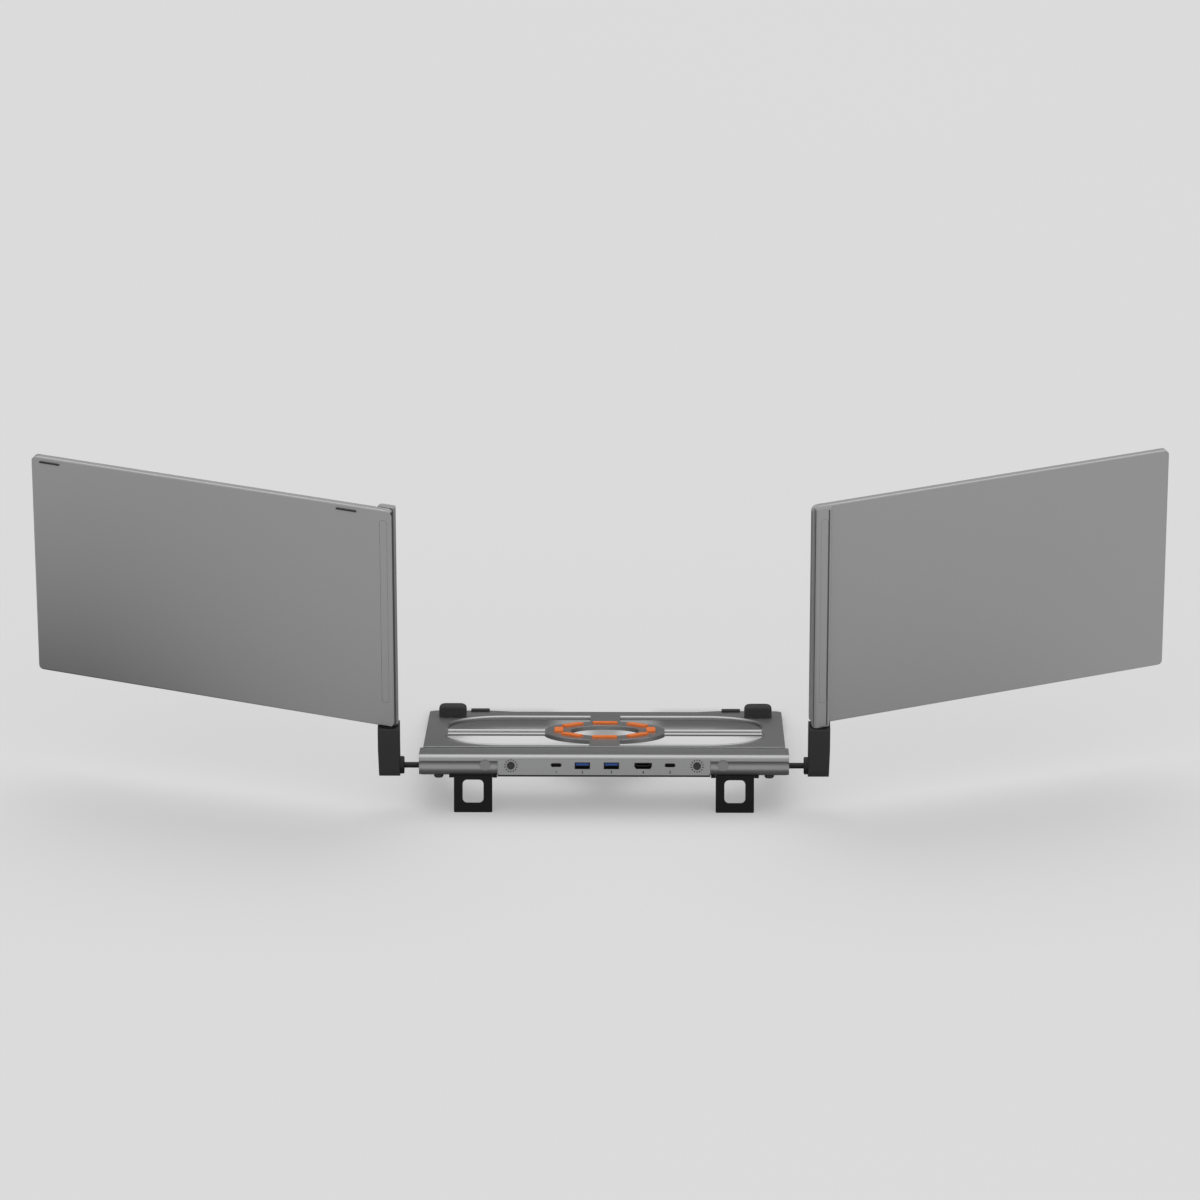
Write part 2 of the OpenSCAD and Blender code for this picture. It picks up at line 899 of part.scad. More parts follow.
module rod(side) {
    color(steel)
    on_rod(side)
    difference() {
        translate([(rod_inner_x + rod_end_x) / 2, 0, 0])
            x_rod(rod_r, rod_end_x - rod_inner_x);
        translate([(rod_inner_x + rod_end_x) / 2, 0, 0])
            x_rod(rod_bore_r, rod_end_x - rod_inner_x + 2 * overrun);
    }
}
module left_rod() rod(-1);
module right_rod() rod(1);

module rod_ring(side, r, t, x)
    on_rod(side)
        translate([x, 0, 0])
            difference() {
                x_rod(r, t);
                x_rod(rod_r + running_gap / 2, t + 2 * overrun);
            }

flange_lip = 0.6;
module rod_flange(side) {
    color(dark_plastic)
    on_rod(side)
        translate([block_in - running_gap - flange_t, 0, 0])
            rotate([0, 90, 0])
                rotate_extrude($fn = 64)
                    polygon([
                        [rod_r + running_gap / 2, 0],
                        [flange_r - flange_lip, 0],
                        [flange_r, flange_lip],
                        [flange_r, flange_t],
                        [rod_r + running_gap / 2, flange_t]
                    ]);
}
module left_rod_flange() rod_flange(-1);
module right_rod_flange() rod_flange(1);

module left_rod_clip() {
    color(steel)
    rod_ring(-1, clip_r, clip_t, rod_inner_x + clip_set + clip_t / 2);
}
module right_rod_clip() {
    color(steel)
    rod_ring(1, clip_r, clip_t, rod_inner_x + clip_set + clip_t / 2);
}

// The hinge inside the block: a pocket that opens to the block's outer side
pocket_wall = 4.4;
pocket_w = 11.4;
pocket_r = 5.6;
pocket_top = 24;
cover_plate_t = 1.6;
cover_rim = 1.7;
washer_t = 0.8;
washer_r = 5;
nut_t = 1.6;
nut_r = 4;

module tilt_washers(side) {
    color(steel)
    for (i = [0, 1])
        rod_ring(side, washer_r, washer_t,
            block_in + pocket_wall + running_gap + washer_t / 2 + i * (washer_t + running_gap));
}
module left_tilt_washers() tilt_washers(-1);
module right_tilt_washers() tilt_washers(1);

module tilt_nut(side) {
    color(steel)
    rod_ring(side, nut_r, nut_t, block_in + pocket_wall + 2 * (washer_t + running_gap) + running_gap + nut_t / 2);
}
module left_tilt_nut() tilt_nut(-1);
module right_tilt_nut() tilt_nut(1);

// Side view of the block: a half round about the rod's axis that rises to a flat top
block_edge_r = 1.2;
module block_side(inset) {
    r = block_d / 2 - inset;
    circle(r, $fn = 96);
    translate([0, (block_top - inset) / 2])
        square([2 * r, block_top - inset - 2 * block_edge_r], center = true);
    translate([0, block_top - inset - block_d / 4])
        rounded_rect(2 * r, block_d / 2, block_edge_r);
    translate([-r, 0])
        square([2 * r, block_top - inset - block_d / 4]);
}

// Rear view of the block, right side: its outer face draws in towards the foot
block_taper = 0.9;
block_corner_r = 1.6;
disc_r = 7.8;
disc_t = 1.9;
pin_r = 2.8;
pin_low = 14.6;
module block_body()
    intersection() {
        along_x(block_w)
            block_side(0);
        translate([0, -block_d, 0])
            along_u(2 * block_d)
                polygon([
                    [-block_w / 2, -block_d / 2],
                    [block_w / 2 - block_taper, -block_d / 2],
                    [block_w / 2, block_top / 2],
                    [block_w / 2, block_top],
                    [-block_w / 2, block_top]
                ]);
        translate([0, 0, -block_d])
            linear_extrude(block_top + 2 * block_d)
                rounded_rect(block_w, block_d, block_corner_r);
    }

module hinge_block(side) {
    color(dark_plastic)
    in_arm(side)
    mirror([side < 0 ? 1 : 0, 0, 0])
    difference() {
        block_body();
        // pocket for the friction stacks
        translate([pocket_wall - block_w / 2 + block_w / 2, 0, 0])
            along_x(block_w) {
                circle(pocket_r);
                translate([-pocket_w / 2, 0])
                    square([pocket_w, pocket_top]);
            }
        // seat of the cover
        translate([block_w / 2 - block_taper - cover_plate_t + block_w / 2, 0, 0])
            along_x(block_w)
                block_side(cover_rim - running_gap);
        // rod and swivel pin
        translate([-block_w / 2, 0, 0])
            x_rod(rod_r + running_gap, block_w);
        cylinder(h = block_top + overrun, r = pin_r + running_gap);
        translate([0, 0, screen_w0 - disc_t - running_gap])
            cylinder(h = disc_t, r = disc_r + seat_gap);
    }
}
module left_hinge_block() hinge_block(-1);
module right_hinge_block() hinge_block(1);

module block_cover(side) {
    color(black_plastic)
    in_arm(side)
    mirror([side < 0 ? 1 : 0, 0, 0])
        translate([block_w / 2 - block_taper - cover_plate_t / 2, 0, 0])
            along_x(cover_plate_t - 2 * running_gap)
                block_side(cover_rim + running_gap);
}
module left_block_cover() block_cover(-1);
module right_block_cover() block_cover(1);

// The swivel pivot: a disc under the spine, its pin in the block and its blade in the spine
blade_w = 9;
blade_t = 2.4;
blade_h = 26;
blade_n = 2.9;
disc_z = screen_w0 - disc_t;
module swivel_pivot(side) {
    color(steel)
    in_screen(side) {
        translate([0, 0, disc_z])
            cylinder(h = disc_t, r = disc_r, $fn = 64);
        translate([0, 0, pin_low])
            cylinder(h = disc_z + disc_t / 2 - pin_low, r = pin_r);
        translate([-blade_w / 2, -side * blade_n - blade_t / 2, disc_z + disc_t / 2])
            cube([blade_w, blade_t, blade_h]);
    }
}
module left_swivel_pivot() swivel_pivot(-1);
module right_swivel_pivot() swivel_pivot(1);

module pin_ring(side, r, t, z)
    in_screen(side)
        translate([0, 0, z])
            difference() {
                cylinder(h = t, r = r);
                translate([0, 0, -overrun])
                    cylinder(h = t + 2 * overrun, r = pin_r + running_gap / 2);
            }

swivel_washer_t = 1;
module swivel_washers(side) {
    color(steel)
    for (i = [0, 1])
        pin_ring(side, washer_r, swivel_washer_t,
            pocket_top - running_gap - swivel_washer_t - i * (swivel_washer_t + running_gap));
}
module left_swivel_washers() swivel_washers(-1);
module right_swivel_washers() swivel_washers(1);

swivel_nut_t = 3;
module swivel_nut(side) {
    color(steel)
    pin_ring(side, nut_r, swivel_nut_t,
        pocket_top - 2 * (swivel_washer_t + running_gap) - running_gap - swivel_nut_t);
}
module left_swivel_nut() swivel_nut(-1);
module right_swivel_nut() swivel_nut(1);

// The spine: a channel that closes against the screen, on the user's side of the left screen
// and on the rear side of the right one
spine_r = 3.2;
seam_edge = 0.5;
spine_wall = 1.7;
spine_end_t = 2;
strip_w = 6.4;
strip_l = 174;
strip_low = 23.4;
strip_t = 0.7;
strip_deep = 0.75;
strip_r = 3;
spine_n = -(depth_gap - 0.1 * depth_gap);
spine_cavity_w = spine_w - 2 * spine_wall;
spine_cavity_t = spine_t - spine_wall - strip_deep;

// Section of the channel, its open side at n = 0 and its back at n = spine_t
module spine_section()
    intersection() {
        rounded_rect(spine_w, 2 * spine_t, spine_r);
        polygon([
            [seam_edge - spine_w / 2, 0],
            [spine_w / 2 - seam_edge, 0],
            [spine_w / 2, seam_edge],
            [spine_w / 2, spine_t],
            [-spine_w / 2, spine_t],
            [-spine_w / 2, seam_edge]
        ]);
    }

module strip_outline(extra)
    rounded_rect(strip_w + 2 * extra, strip_l + 2 * extra, strip_r + extra);

// The spine stands at n below 0 on the right and above 0 on the left
module in_spine(side)
    in_screen(side)
        rotate([0, 0, side > 0 ? 180 : 0])
            translate([0, depth_gap / 3, screen_w0])
                children();

module spine(side) {
    color(metal)
    in_spine(side)
    difference() {
        linear_extrude(screen_h)
            spine_section();
        translate([-spine_cavity_w / 2, -overrun, spine_end_t])
            cube([spine_cavity_w, overrun + spine_cavity_t, screen_h - 2 * spine_end_t]);
        // the pivot's blade passes the lower end
        translate([-blade_w / 2 - seat_gap, blade_n - depth_gap / 3 - blade_t / 2 - seat_gap, -overrun])
            cube([blade_w + 2 * seat_gap, blade_t + 2 * seat_gap, spine_end_t + 2 * overrun]);
        if (side > 0)
            translate([0, spine_t - strip_deep, strip_low + strip_l / 2])
                along_u(strip_deep + overrun)
                    strip_outline(seat_gap);
    }
}
module left_spine() spine(-1);
module right_spine() spine(1);

// The screen: s (X) outwards from the spine's axis, its back at n = 0, its display side at n = screen_t
module in_panel(side)
    in_screen(side)
        mirror([side < 0 ? 1 : 0, 0, 0])
            translate([0, side < 0 ? -depth_gap - screen_t : depth_gap, screen_w0])
                children();

module screen_outline(inset, r)
    translate([screen_out - screen_w / 2, screen_h / 2])
        rounded_rect(screen_w - 2 * inset, screen_h - 2 * inset, r);

// The narrow land that lies on the spine stays solid; the rest holds the display
tray_wall = 1.2;
tray_floor = 1.2;
glass_t = 0.9;
land_out = spine_w / 2 + 1.4 * tray_wall;
back_edge_r = 1.6;
module tray_pocket(inset)
    intersection() {
        screen_outline(tray_wall + inset, screen_r - tray_wall);
        translate([land_out + inset, 0])
            square([screen_w, screen_h]);
    }

// Section of the screen, its back at n = 0
module eased_section(w)
    intersection() {
        translate([0, screen_t])
            rounded_rect(w, 2 * screen_t, back_edge_r);
        polygon([
            [-w / 2, 0],
            [w / 2, 0],
            [w / 2, screen_t - seam_edge],
            [w / 2 - seam_edge, screen_t],
            [seam_edge - w / 2, screen_t],
            [-w / 2, screen_t - seam_edge]
        ]);
    }

module screen_back(side) {
    color(metal)
    in_panel(side)
    difference() {
        intersection() {
            along_u(screen_t)
                screen_outline(0, screen_r);
            // all edges are eased, rounder towards the back
            along_x(2 * screen_w)
                translate([0, screen_h / 2])
                    rotate(-90)
                        eased_section(screen_h);
            linear_extrude(screen_h)
                translate([screen_out - screen_w / 2, 0])
                    eased_section(screen_w);
        }
        translate([0, tray_floor, 0])
            along_u(screen_t)
                tray_pocket(0);
        if (side < 0)
            translate([0, -overrun, strip_low + strip_l / 2])
                along_u(overrun + strip_deep)
                    strip_outline(seat_gap);
    }
}
module left_screen_back() screen_back(-1);
module right_screen_back() screen_back(1);

module left_spine_strip() {
    color(metal)
    in_panel(-1)
        translate([0, strip_deep - strip_t, strip_low + strip_l / 2])
            along_u(strip_t)
                strip_outline(0);
}
module right_spine_strip() {
    color(metal)
    in_spine(1)
        translate([0, spine_t - strip_deep, strip_low + strip_l / 2])
            along_u(strip_t)
                strip_outline(0);
}

module display_panel(side) {
    color(dark_plastic)
    in_panel(side)
        translate([0, tray_floor + seat_gap, 0])
            along_u(screen_t - tray_floor - glass_t - 2 * seat_gap)
                tray_pocket(seat_gap);
}
module left_display_panel() display_panel(-1);
module right_display_panel() display_panel(1);

module screen_glass(side) {
    color(black_plastic)
    in_panel(side)
        translate([0, screen_t - glass_t - running_gap, 0])
            along_u(glass_t)
                tray_pocket(seat_gap);
}
module left_screen_glass() screen_glass(-1);
module right_screen_glass() screen_glass(1);

// Two thin rubber lines near the left screen's upper edge, on which it lies when folded
line_in = 29.4;
line_out = 14.4;
line_s = [spine_in + line_in, screen_out - line_out];
line_l = 10.8;
line_h = 1.4;
line_t = 1.2;
line_down = 6.3;
module left_screen_feet() {
    color(black_plastic)
    in_panel(-1)
    for (s = line_s)
        translate([s - line_l / 2, -line_t, screen_h - line_down - line_h / 2])
            cube([line_l, line_t, line_h]);
}

hub_shell();
hub_bottom_cover();
port_plate();
main_circuit_board();
usb_c_sockets();
usb_c_tongues();
usb_a_sockets();
usb_a_tongues();
hdmi_socket();
hdmi_tongue();
dial_encoders();
rod_guides();
hub_feet();
screw_plugs();
cover_screws();
deck_frame();
deck_screws();
ring_pads();
laptop_stops();
edge_bumpers();
leg_brackets();
leg_pins();
left_leg();
right_leg();
left_dial();
right_dial();
left_rod();
left_rod_flange();
left_rod_clip();
left_tilt_washers();
left_tilt_nut();
left_hinge_block();
left_block_cover();
left_swivel_pivot();
left_swivel_washers();
left_swivel_nut();
left_spine();
left_spine_strip();
left_screen_back();
left_display_panel();
left_screen_glass();
left_screen_feet();
right_rod();
right_rod_flange();
right_rod_clip();
right_tilt_washers();
right_tilt_nut();
right_hinge_block();
right_block_cover();
right_swivel_pivot();
right_swivel_washers();
right_swivel_nut();
right_spine();
right_spine_strip();
right_screen_back();
right_display_panel();
right_screen_glass();
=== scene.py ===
"""Dresses a laptop screen extender: ports bar, laptop deck, folding legs and two screens on arms."""

import json
import logging
import math
from dataclasses import dataclass, field, replace
from enum import Enum
from typing import Iterable, Optional, Union

import bpy
from mathutils import Matrix, Vector

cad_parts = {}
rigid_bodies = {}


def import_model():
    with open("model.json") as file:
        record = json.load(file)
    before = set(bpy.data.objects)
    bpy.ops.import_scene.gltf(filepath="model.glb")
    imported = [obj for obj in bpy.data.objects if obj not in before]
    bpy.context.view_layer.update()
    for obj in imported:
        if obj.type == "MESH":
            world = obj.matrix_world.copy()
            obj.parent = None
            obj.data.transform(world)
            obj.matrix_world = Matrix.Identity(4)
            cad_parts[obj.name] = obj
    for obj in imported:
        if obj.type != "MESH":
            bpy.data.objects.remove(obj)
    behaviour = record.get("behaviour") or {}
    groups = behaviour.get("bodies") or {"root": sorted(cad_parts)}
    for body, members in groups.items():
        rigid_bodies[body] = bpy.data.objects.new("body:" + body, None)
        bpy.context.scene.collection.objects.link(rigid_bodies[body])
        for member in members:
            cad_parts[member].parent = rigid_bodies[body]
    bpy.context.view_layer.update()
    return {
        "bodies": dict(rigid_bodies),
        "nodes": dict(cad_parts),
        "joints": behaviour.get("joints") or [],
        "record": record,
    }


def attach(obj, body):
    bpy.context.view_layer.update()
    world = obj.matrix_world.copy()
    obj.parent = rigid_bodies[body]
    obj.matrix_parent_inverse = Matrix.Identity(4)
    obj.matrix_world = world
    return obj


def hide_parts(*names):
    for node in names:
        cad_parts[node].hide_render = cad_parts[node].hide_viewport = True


log = logging.getLogger("screen_extender")

MM = 0.001
SHARP_ANGLE = 40.0
GRAIN_DENSITY = 2600.0
CLOUD_SIZE = 9.0
SEAM_SHADE_SAMPLES = 6
EDGE_SAMPLES = 4

Colour = tuple[float, float, float]
Point = tuple[float, float, float]
Span = tuple[float, float]
Section = list[tuple[float, float]]
Faces = list[tuple[int, ...]]
Solid = tuple[list[Vector], Faces]
Placed = tuple[list[Vector], Faces, Matrix]
Socket = bpy.types.NodeSocket
Term = Union[float, tuple[float, ...], Vector, Socket]
Inputs = dict[Union[str, int], Term]


class Side(Enum):
    """Which arm of the extender a piece belongs to, seen from behind."""

    LEFT = -1
    RIGHT = 1

    @property
    def word(self) -> str:
        """The side's name in lower case, as the node names use it."""
        return self.name.lower()


class Grain(Enum):
    """How a surface was finished: the stretch of its grain along x, y and z."""

    BLASTED = (1.0, 1.0, 1.0)
    BRUSHED_X = (0.02, 1.0, 1.0)
    MOULDED = (0.6, 0.6, 0.6)


# ---------------------------------------------------------------------------
# Frames of reference
# ---------------------------------------------------------------------------


@dataclass(frozen=True)
class ExtenderLayout:
    """The places that the construction gives, in degrees and millimetres."""

    deck_tilt: float = 11.0727
    base_y: float = -113.353
    base_z: float = 33.7301
    block_x: float = 187.0
    rod_u: float = 9.6
    rod_v: float = 7.9
    top_v: float = 18.6
    screen_w0: float = 40.2
    screen_h: float = 207.0
    screen_out: float = 329.4
    leans: Span = (6.8, 5.8)
    swings: Span = (19.8, 21.9)

    @property
    def screen_top(self) -> float:
        """The level of a screen's upper edge above its block."""
        return self.screen_w0 + self.screen_h

    def base(self) -> Matrix:
        """The ports bar's frame (x, u, v) in metres, as a matrix to the row frame."""
        place = Matrix.Translation((0.0, self.base_y * MM, self.base_z * MM))
        return place @ Matrix.Rotation(math.radians(-self.deck_tilt), 4, "X")

    def arm(self, side: Side) -> Matrix:
        """The frame of one hinge block on its rod's axis.

        Args:
            side: The arm.

        Returns:
            The matrix from (x, n, w) in metres to the row frame.
        """
        lean = self.leans[0 if side is Side.LEFT else 1]
        place = Matrix.Translation((side.value * self.block_x * MM, self.rod_u * MM, self.rod_v * MM))
        return self.base() @ place @ Matrix.Rotation(math.radians(self.deck_tilt + lean), 4, "X")

    def screen(self, side: Side) -> Matrix:
        """The frame of one screen, turned about its spine.

        Args:
            side: The arm.

        Returns:
            The matrix from (s along +x, n, w) in metres to the row frame.
        """
        swing = self.swings[0 if side is Side.LEFT else 1]
        return self.arm(side) @ Matrix.Rotation(math.radians(side.value * swing), 4, "Z")


LAYOUT = ExtenderLayout()


# ---------------------------------------------------------------------------
# Shader graphs and shared effects
# ---------------------------------------------------------------------------


class ShaderGraph:
    """The nodes of one tree, with short ways to add, set and link them."""

    def __init__(self, tree: bpy.types.NodeTree) -> None:
        """Keeps the tree's nodes and links."""
        self.nodes, self.links = tree.nodes, tree.links

    def feed(self, node: bpy.types.Node, inputs: Inputs) -> None:
        """Links or sets a node's inputs.

        Args:
            node: The node.
            inputs: A socket to link from, or a value, by the input's name or place.
        """
        for place, term in inputs.items():
            if isinstance(term, Socket):
                self.links.new(term, node.inputs[place])
            else:
                node.inputs[place].default_value = term

    def add(self, kind: str, inputs: Optional[Inputs] = None, **settings: object) -> bpy.types.Node:
        """Adds a node; its properties are set before its inputs.

        Args:
            kind: The node's type.
            inputs: What it is fed, as in feed.
            settings: Its properties.

        Returns:
            The node.
        """
        made = self.nodes.new(kind)
        for name, value in settings.items():
            setattr(made, name, value)
        self.feed(made, inputs or {})
        return made

    def compute(self, operation: str, *terms: Term, clamp: bool = False) -> Socket:
        """The result of one math node on its terms in order."""
        inputs = dict(enumerate(terms))
        return self.add("ShaderNodeMath", inputs, operation=operation, use_clamp=clamp).outputs["Value"]

    def product(self, first: Socket, *others: Term) -> Socket:
        """The product of several terms."""
        for term in others:
            first = self.compute("MULTIPLY", first, term)
        return first

    def less(self, value: Socket, share: float) -> Socket:
        """One, less a share of a value."""
        return self.compute("MULTIPLY_ADD", value, -share, 1.0)

    def step(self, value: Socket, span: Span) -> Socket:
        """A smooth step of a value, from 0 at the span's first end to 1 at its second."""
        inputs = {"Value": value, "From Min": span[0], "From Max": span[1]}
        return self.add("ShaderNodeMapRange", inputs, interpolation_type="SMOOTHSTEP").outputs["Result"]

    def mix(self, share: Socket, first: Union[Colour, Socket], second: Union[Colour, Socket]) -> Socket:
        """The colour at a share of the way between two."""
        ends = [(*colour, 1.0) if isinstance(colour, tuple) else colour for colour in (first, second)]
        inputs = {"Factor": share, "A": ends[0], "B": ends[1]}
        return self.add("ShaderNodeMix", inputs, data_type="RGBA").outputs["Result"]


def new_material(name: str) -> tuple[bpy.types.Material, ShaderGraph, bpy.types.Node]:
    """A new material, its graph and its surface shader."""
    made = bpy.data.materials.new(name)
    made.use_nodes = True
    graph = ShaderGraph(made.node_tree)
    return made, graph, graph.nodes["Principled BSDF"]


def new_group(name: str, inputs: dict[str, float], output: str) -> bpy.types.NodeTree:
    """Makes an empty shader node group with float sockets.

    Args:
        name: The group's name.
        inputs: Each input's name and its starting value.
        output: The output's name.

    Returns:
        The group, with its input and output nodes in place.
    """
    group = bpy.data.node_groups.new(name, "ShaderNodeTree")
    for socket, value in inputs.items():
        made = group.interface.new_socket(name=socket, in_out="INPUT", socket_type="NodeSocketFloat")
        made.default_value = value
    group.interface.new_socket(name=output, in_out="OUTPUT", socket_type="NodeSocketFloat")
    group.nodes.new("NodeGroupInput")
    group.nodes.new("NodeGroupOutput")
    return group


class SurfaceEffects:
    """Node groups that several finishes share, each built once."""

    grain_detail = 3.0
    grain_roughness = 0.6
    cloud_detail = 4.0

    def __init__(self) -> None:
        """Builds the groups."""
        self.grain = self._build_grain()
        self.handling = self._build_handling()

    def _build_grain(self) -> bpy.types.NodeTree:
        """Fine grain of a blasted, brushed or moulded surface.

        Returns:
            A group with inputs Stretch X, Stretch Y, Stretch Z and Density and the output Grain.
        """
        stretches = {f"Stretch {axis}": 1.0 for axis in "XYZ"}
        group = new_group("fine_grain", {**stretches, "Density": GRAIN_DENSITY}, "Grain")
        graph = ShaderGraph(group)
        start = graph.nodes["Group Input"].outputs
        place = graph.add("ShaderNodeTexCoord").outputs["Object"]
        stretch = graph.add("ShaderNodeCombineXYZ", {axis: start[f"Stretch {axis}"] for axis in "XYZ"})
        scale = graph.add("ShaderNodeVectorMath", {0: place, 1: stretch.outputs["Vector"]}, operation="MULTIPLY")
        inputs = {
            "Vector": scale.outputs["Vector"],
            "Scale": start["Density"],
            "Detail": self.grain_detail,
            "Roughness": self.grain_roughness,
        }
        noise = graph.add("ShaderNodeTexNoise", inputs)
        graph.feed(graph.nodes["Group Output"], {"Grain": noise.outputs["Fac"]})
        return group

    def _build_handling(self) -> bpy.types.NodeTree:
        """Faint cloudy variation from handling and cleaning.

        Returns:
            A group with inputs Size and Contrast and the output Mask.
        """
        group = new_group("handling_marks", {"Size": CLOUD_SIZE, "Contrast": 1.0}, "Mask")
        graph = ShaderGraph(group)
        start = graph.nodes["Group Input"].outputs
        place = graph.add("ShaderNodeTexCoord").outputs["Object"]
        inputs = {"Vector": place, "Scale": start["Size"], "Detail": self.cloud_detail}
        broad = graph.add("ShaderNodeTexNoise", inputs)
        centre = graph.compute("MULTIPLY_ADD", start["Contrast"], -0.5, 0.5)
        spread = graph.compute("MULTIPLY_ADD", broad.outputs["Fac"], start["Contrast"], centre, clamp=True)
        graph.feed(graph.nodes["Group Output"], {"Mask": spread})
        return group


# ---------------------------------------------------------------------------
# Finishes
# ---------------------------------------------------------------------------


@dataclass(frozen=True)
class Finish:
    """A procedural surface: two close tones, two close roughnesses, a fine bump, eased edges and painted seam
    shade in mm.
    """

    name: str
    dark: Colour
    light: Colour
    rough_low: float
    rough_high: float
    metallic: float = 0.0
    grain: Grain = Grain.BLASTED
    density: float = GRAIN_DENSITY
    bump: float = 0.04
    bump_depth: float = 0.02
    coat: float = 0.0
    specular: float = 0.5
    cloud_size: float = CLOUD_SIZE
    edge: float = 0.0
    seam: float = 0.0
    seam_open: Span = (0.35, 0.9)
    seam_share: float = 0.2

    def material(self, effects: SurfaceEffects) -> bpy.types.Material:
        """Builds the finish's material.

        Args:
            effects: The shared node groups.

        Returns:
            The material.
        """
        made, graph, shader = new_material(self.name)
        stretch = {f"Stretch {axis}": value for axis, value in zip("XYZ", self.grain.value)}
        grain = graph.add("ShaderNodeGroup", {**stretch, "Density": self.density}, node_tree=effects.grain)
        marks = graph.add("ShaderNodeGroup", {"Size": self.cloud_size}, node_tree=effects.handling)
        tone = graph.mix(grain.outputs["Grain"], self.dark, self.light)
        # Painted shade: the tone darkens where pieces close in on each other.
        if self.seam:
            tone = self._darken_seams(graph, tone)
        spread = {"Value": marks.outputs["Mask"], "To Min": self.rough_low, "To Max": self.rough_high}
        rough = graph.add("ShaderNodeMapRange", spread)
        relief = {"Strength": self.bump, "Distance": self.bump_depth * MM, "Height": grain.outputs["Grain"]}
        bump = graph.add("ShaderNodeBump", relief)
        if self.edge:
            eased = graph.add("ShaderNodeBevel", {"Radius": self.edge * MM}, samples=EDGE_SAMPLES)
            graph.feed(bump, {"Normal": eased.outputs["Normal"]})
        surface = {
            "Base Color": tone,
            "Metallic": self.metallic,
            "Coat Weight": self.coat,
            "Specular IOR Level": self.specular,
            "Roughness": rough.outputs["Result"],
            "Normal": bump.outputs["Normal"],
        }
        graph.feed(shader, surface)
        return made

    def _darken_seams(self, graph: ShaderGraph, tone: Socket) -> Socket:
        """The tone with painted shade where two pieces close in on each other."""
        closed = graph.add("ShaderNodeAmbientOcclusion", {"Distance": self.seam * MM}, samples=SEAM_SHADE_SAMPLES)
        low, high = self.seam_open
        inputs = {"Value": closed.outputs["AO"], "From Min": low, "From Max": high, "To Min": self.seam_share}
        shade = graph.add("ShaderNodeMapRange", inputs).outputs["Result"]
        return graph.add("ShaderNodeVectorMath", {0: tone, "Scale": shade}, operation="SCALE").outputs["Vector"]


def grey(value: float, warm: float = 0.0) -> Colour:
    """A grey in linear light, a little warmer or cooler."""
    return (value * (1 + warm), value, value * (1 - warm))


def moulded(name: str, dark: Colour, light: Colour, low: float, high: float, **more: float) -> Finish:
    """A moulded plastic or rubber with a fine even grain."""
    return Finish(name, dark, light, low, high, grain=Grain.MOULDED, **more)


ANODIZED = Finish(
    "anodized_metal", grey(0.50, -0.005), grey(0.56, -0.005), 0.34, 0.42, metallic=1.0, bump=0.05, edge=0.45
)
# seam paints shade into the skin's crevices and joints.
SCREEN_SKIN = Finish("screen_skin", grey(0.54), grey(0.59), 0.52, 0.6, metallic=1.0, bump=0.05, seam=1.6)
DECK_METAL = replace(ANODIZED, name="deck_metal", edge=0.9)
TRIM_METAL = Finish("trim_metal", grey(0.50), grey(0.56), 0.32, 0.38, metallic=1.0, bump=0.03)
PLUG_METAL = Finish("plug_metal", grey(0.40), grey(0.44), 0.45, 0.55, metallic=1.0)
LEG_METAL = Finish("leg_metal", grey(0.007), grey(0.010), 0.42, 0.55, specular=0.22, bump=0.05, edge=0.4)
BLACK_METAL = Finish("black_metal", grey(0.009), grey(0.013), 0.28, 0.36, specular=0.4, bump=0.03)
COVER_METAL = Finish("cover_metal", grey(0.018), grey(0.024), 0.42, 0.55, specular=0.3, bump=0.05)
STEEL = Finish("steel", grey(0.48), grey(0.56), 0.25, 0.36, metallic=1.0, grain=Grain.BRUSHED_X)
# Steel darkened to paint the shade inside the sockets.
SHADED_SOCKET_STEEL = Finish("socket_steel", grey(0.07), grey(0.10), 0.3, 0.4, metallic=1.0, grain=Grain.BRUSHED_X)
# Gold darkened to paint the shade under the blue tongues.
SHADED_GOLD_CONTACT = Finish("gold_contact", (0.10, 0.07, 0.02), (0.13, 0.09, 0.03), 0.3, 0.4, metallic=1.0)
BOARD_GREEN = Finish("board_green", (0.010, 0.060, 0.025), (0.014, 0.080, 0.032), 0.3, 0.4, coat=0.3)
DISPLAY_BLACK = Finish("display_black", grey(0.010), grey(0.014), 0.3, 0.4)
# Dark strips that paint shade and dark reflections along the screens' spines.
SPINE_SHADE_AND_REFLECTION = Finish("seam_plastic", grey(0.062), grey(0.070), 0.5, 0.6, specular=0.3)
DARK_PRINT = Finish("dark_print", grey(0.014), grey(0.020), 0.5, 0.6, specular=0.3)
DARK_PLASTIC = moulded("dark_plastic", grey(0.025), grey(0.031), 0.42, 0.52, specular=0.35, bump=0.08, edge=0.5)
BLACK_PLASTIC = moulded("black_plastic", grey(0.008), grey(0.011), 0.4, 0.5, specular=0.3)
DIAL_PLASTIC = moulded("dial_plastic", grey(0.026), grey(0.034), 0.35, 0.45, bump=0.06, edge=0.2)
BLUE_PLASTIC = moulded("blue_plastic", (0.008, 0.062, 0.27), (0.012, 0.08, 0.34), 0.35, 0.45)
GRIP_ORANGE = moulded("grip_orange", (0.76, 0.175, 0.030), (0.84, 0.20, 0.036), 0.5, 0.62, specular=0.3, bump=0.1)
DARK_RUBBER = moulded("dark_rubber", grey(0.028), grey(0.036), 0.5, 0.62, specular=0.35, bump=0.12)


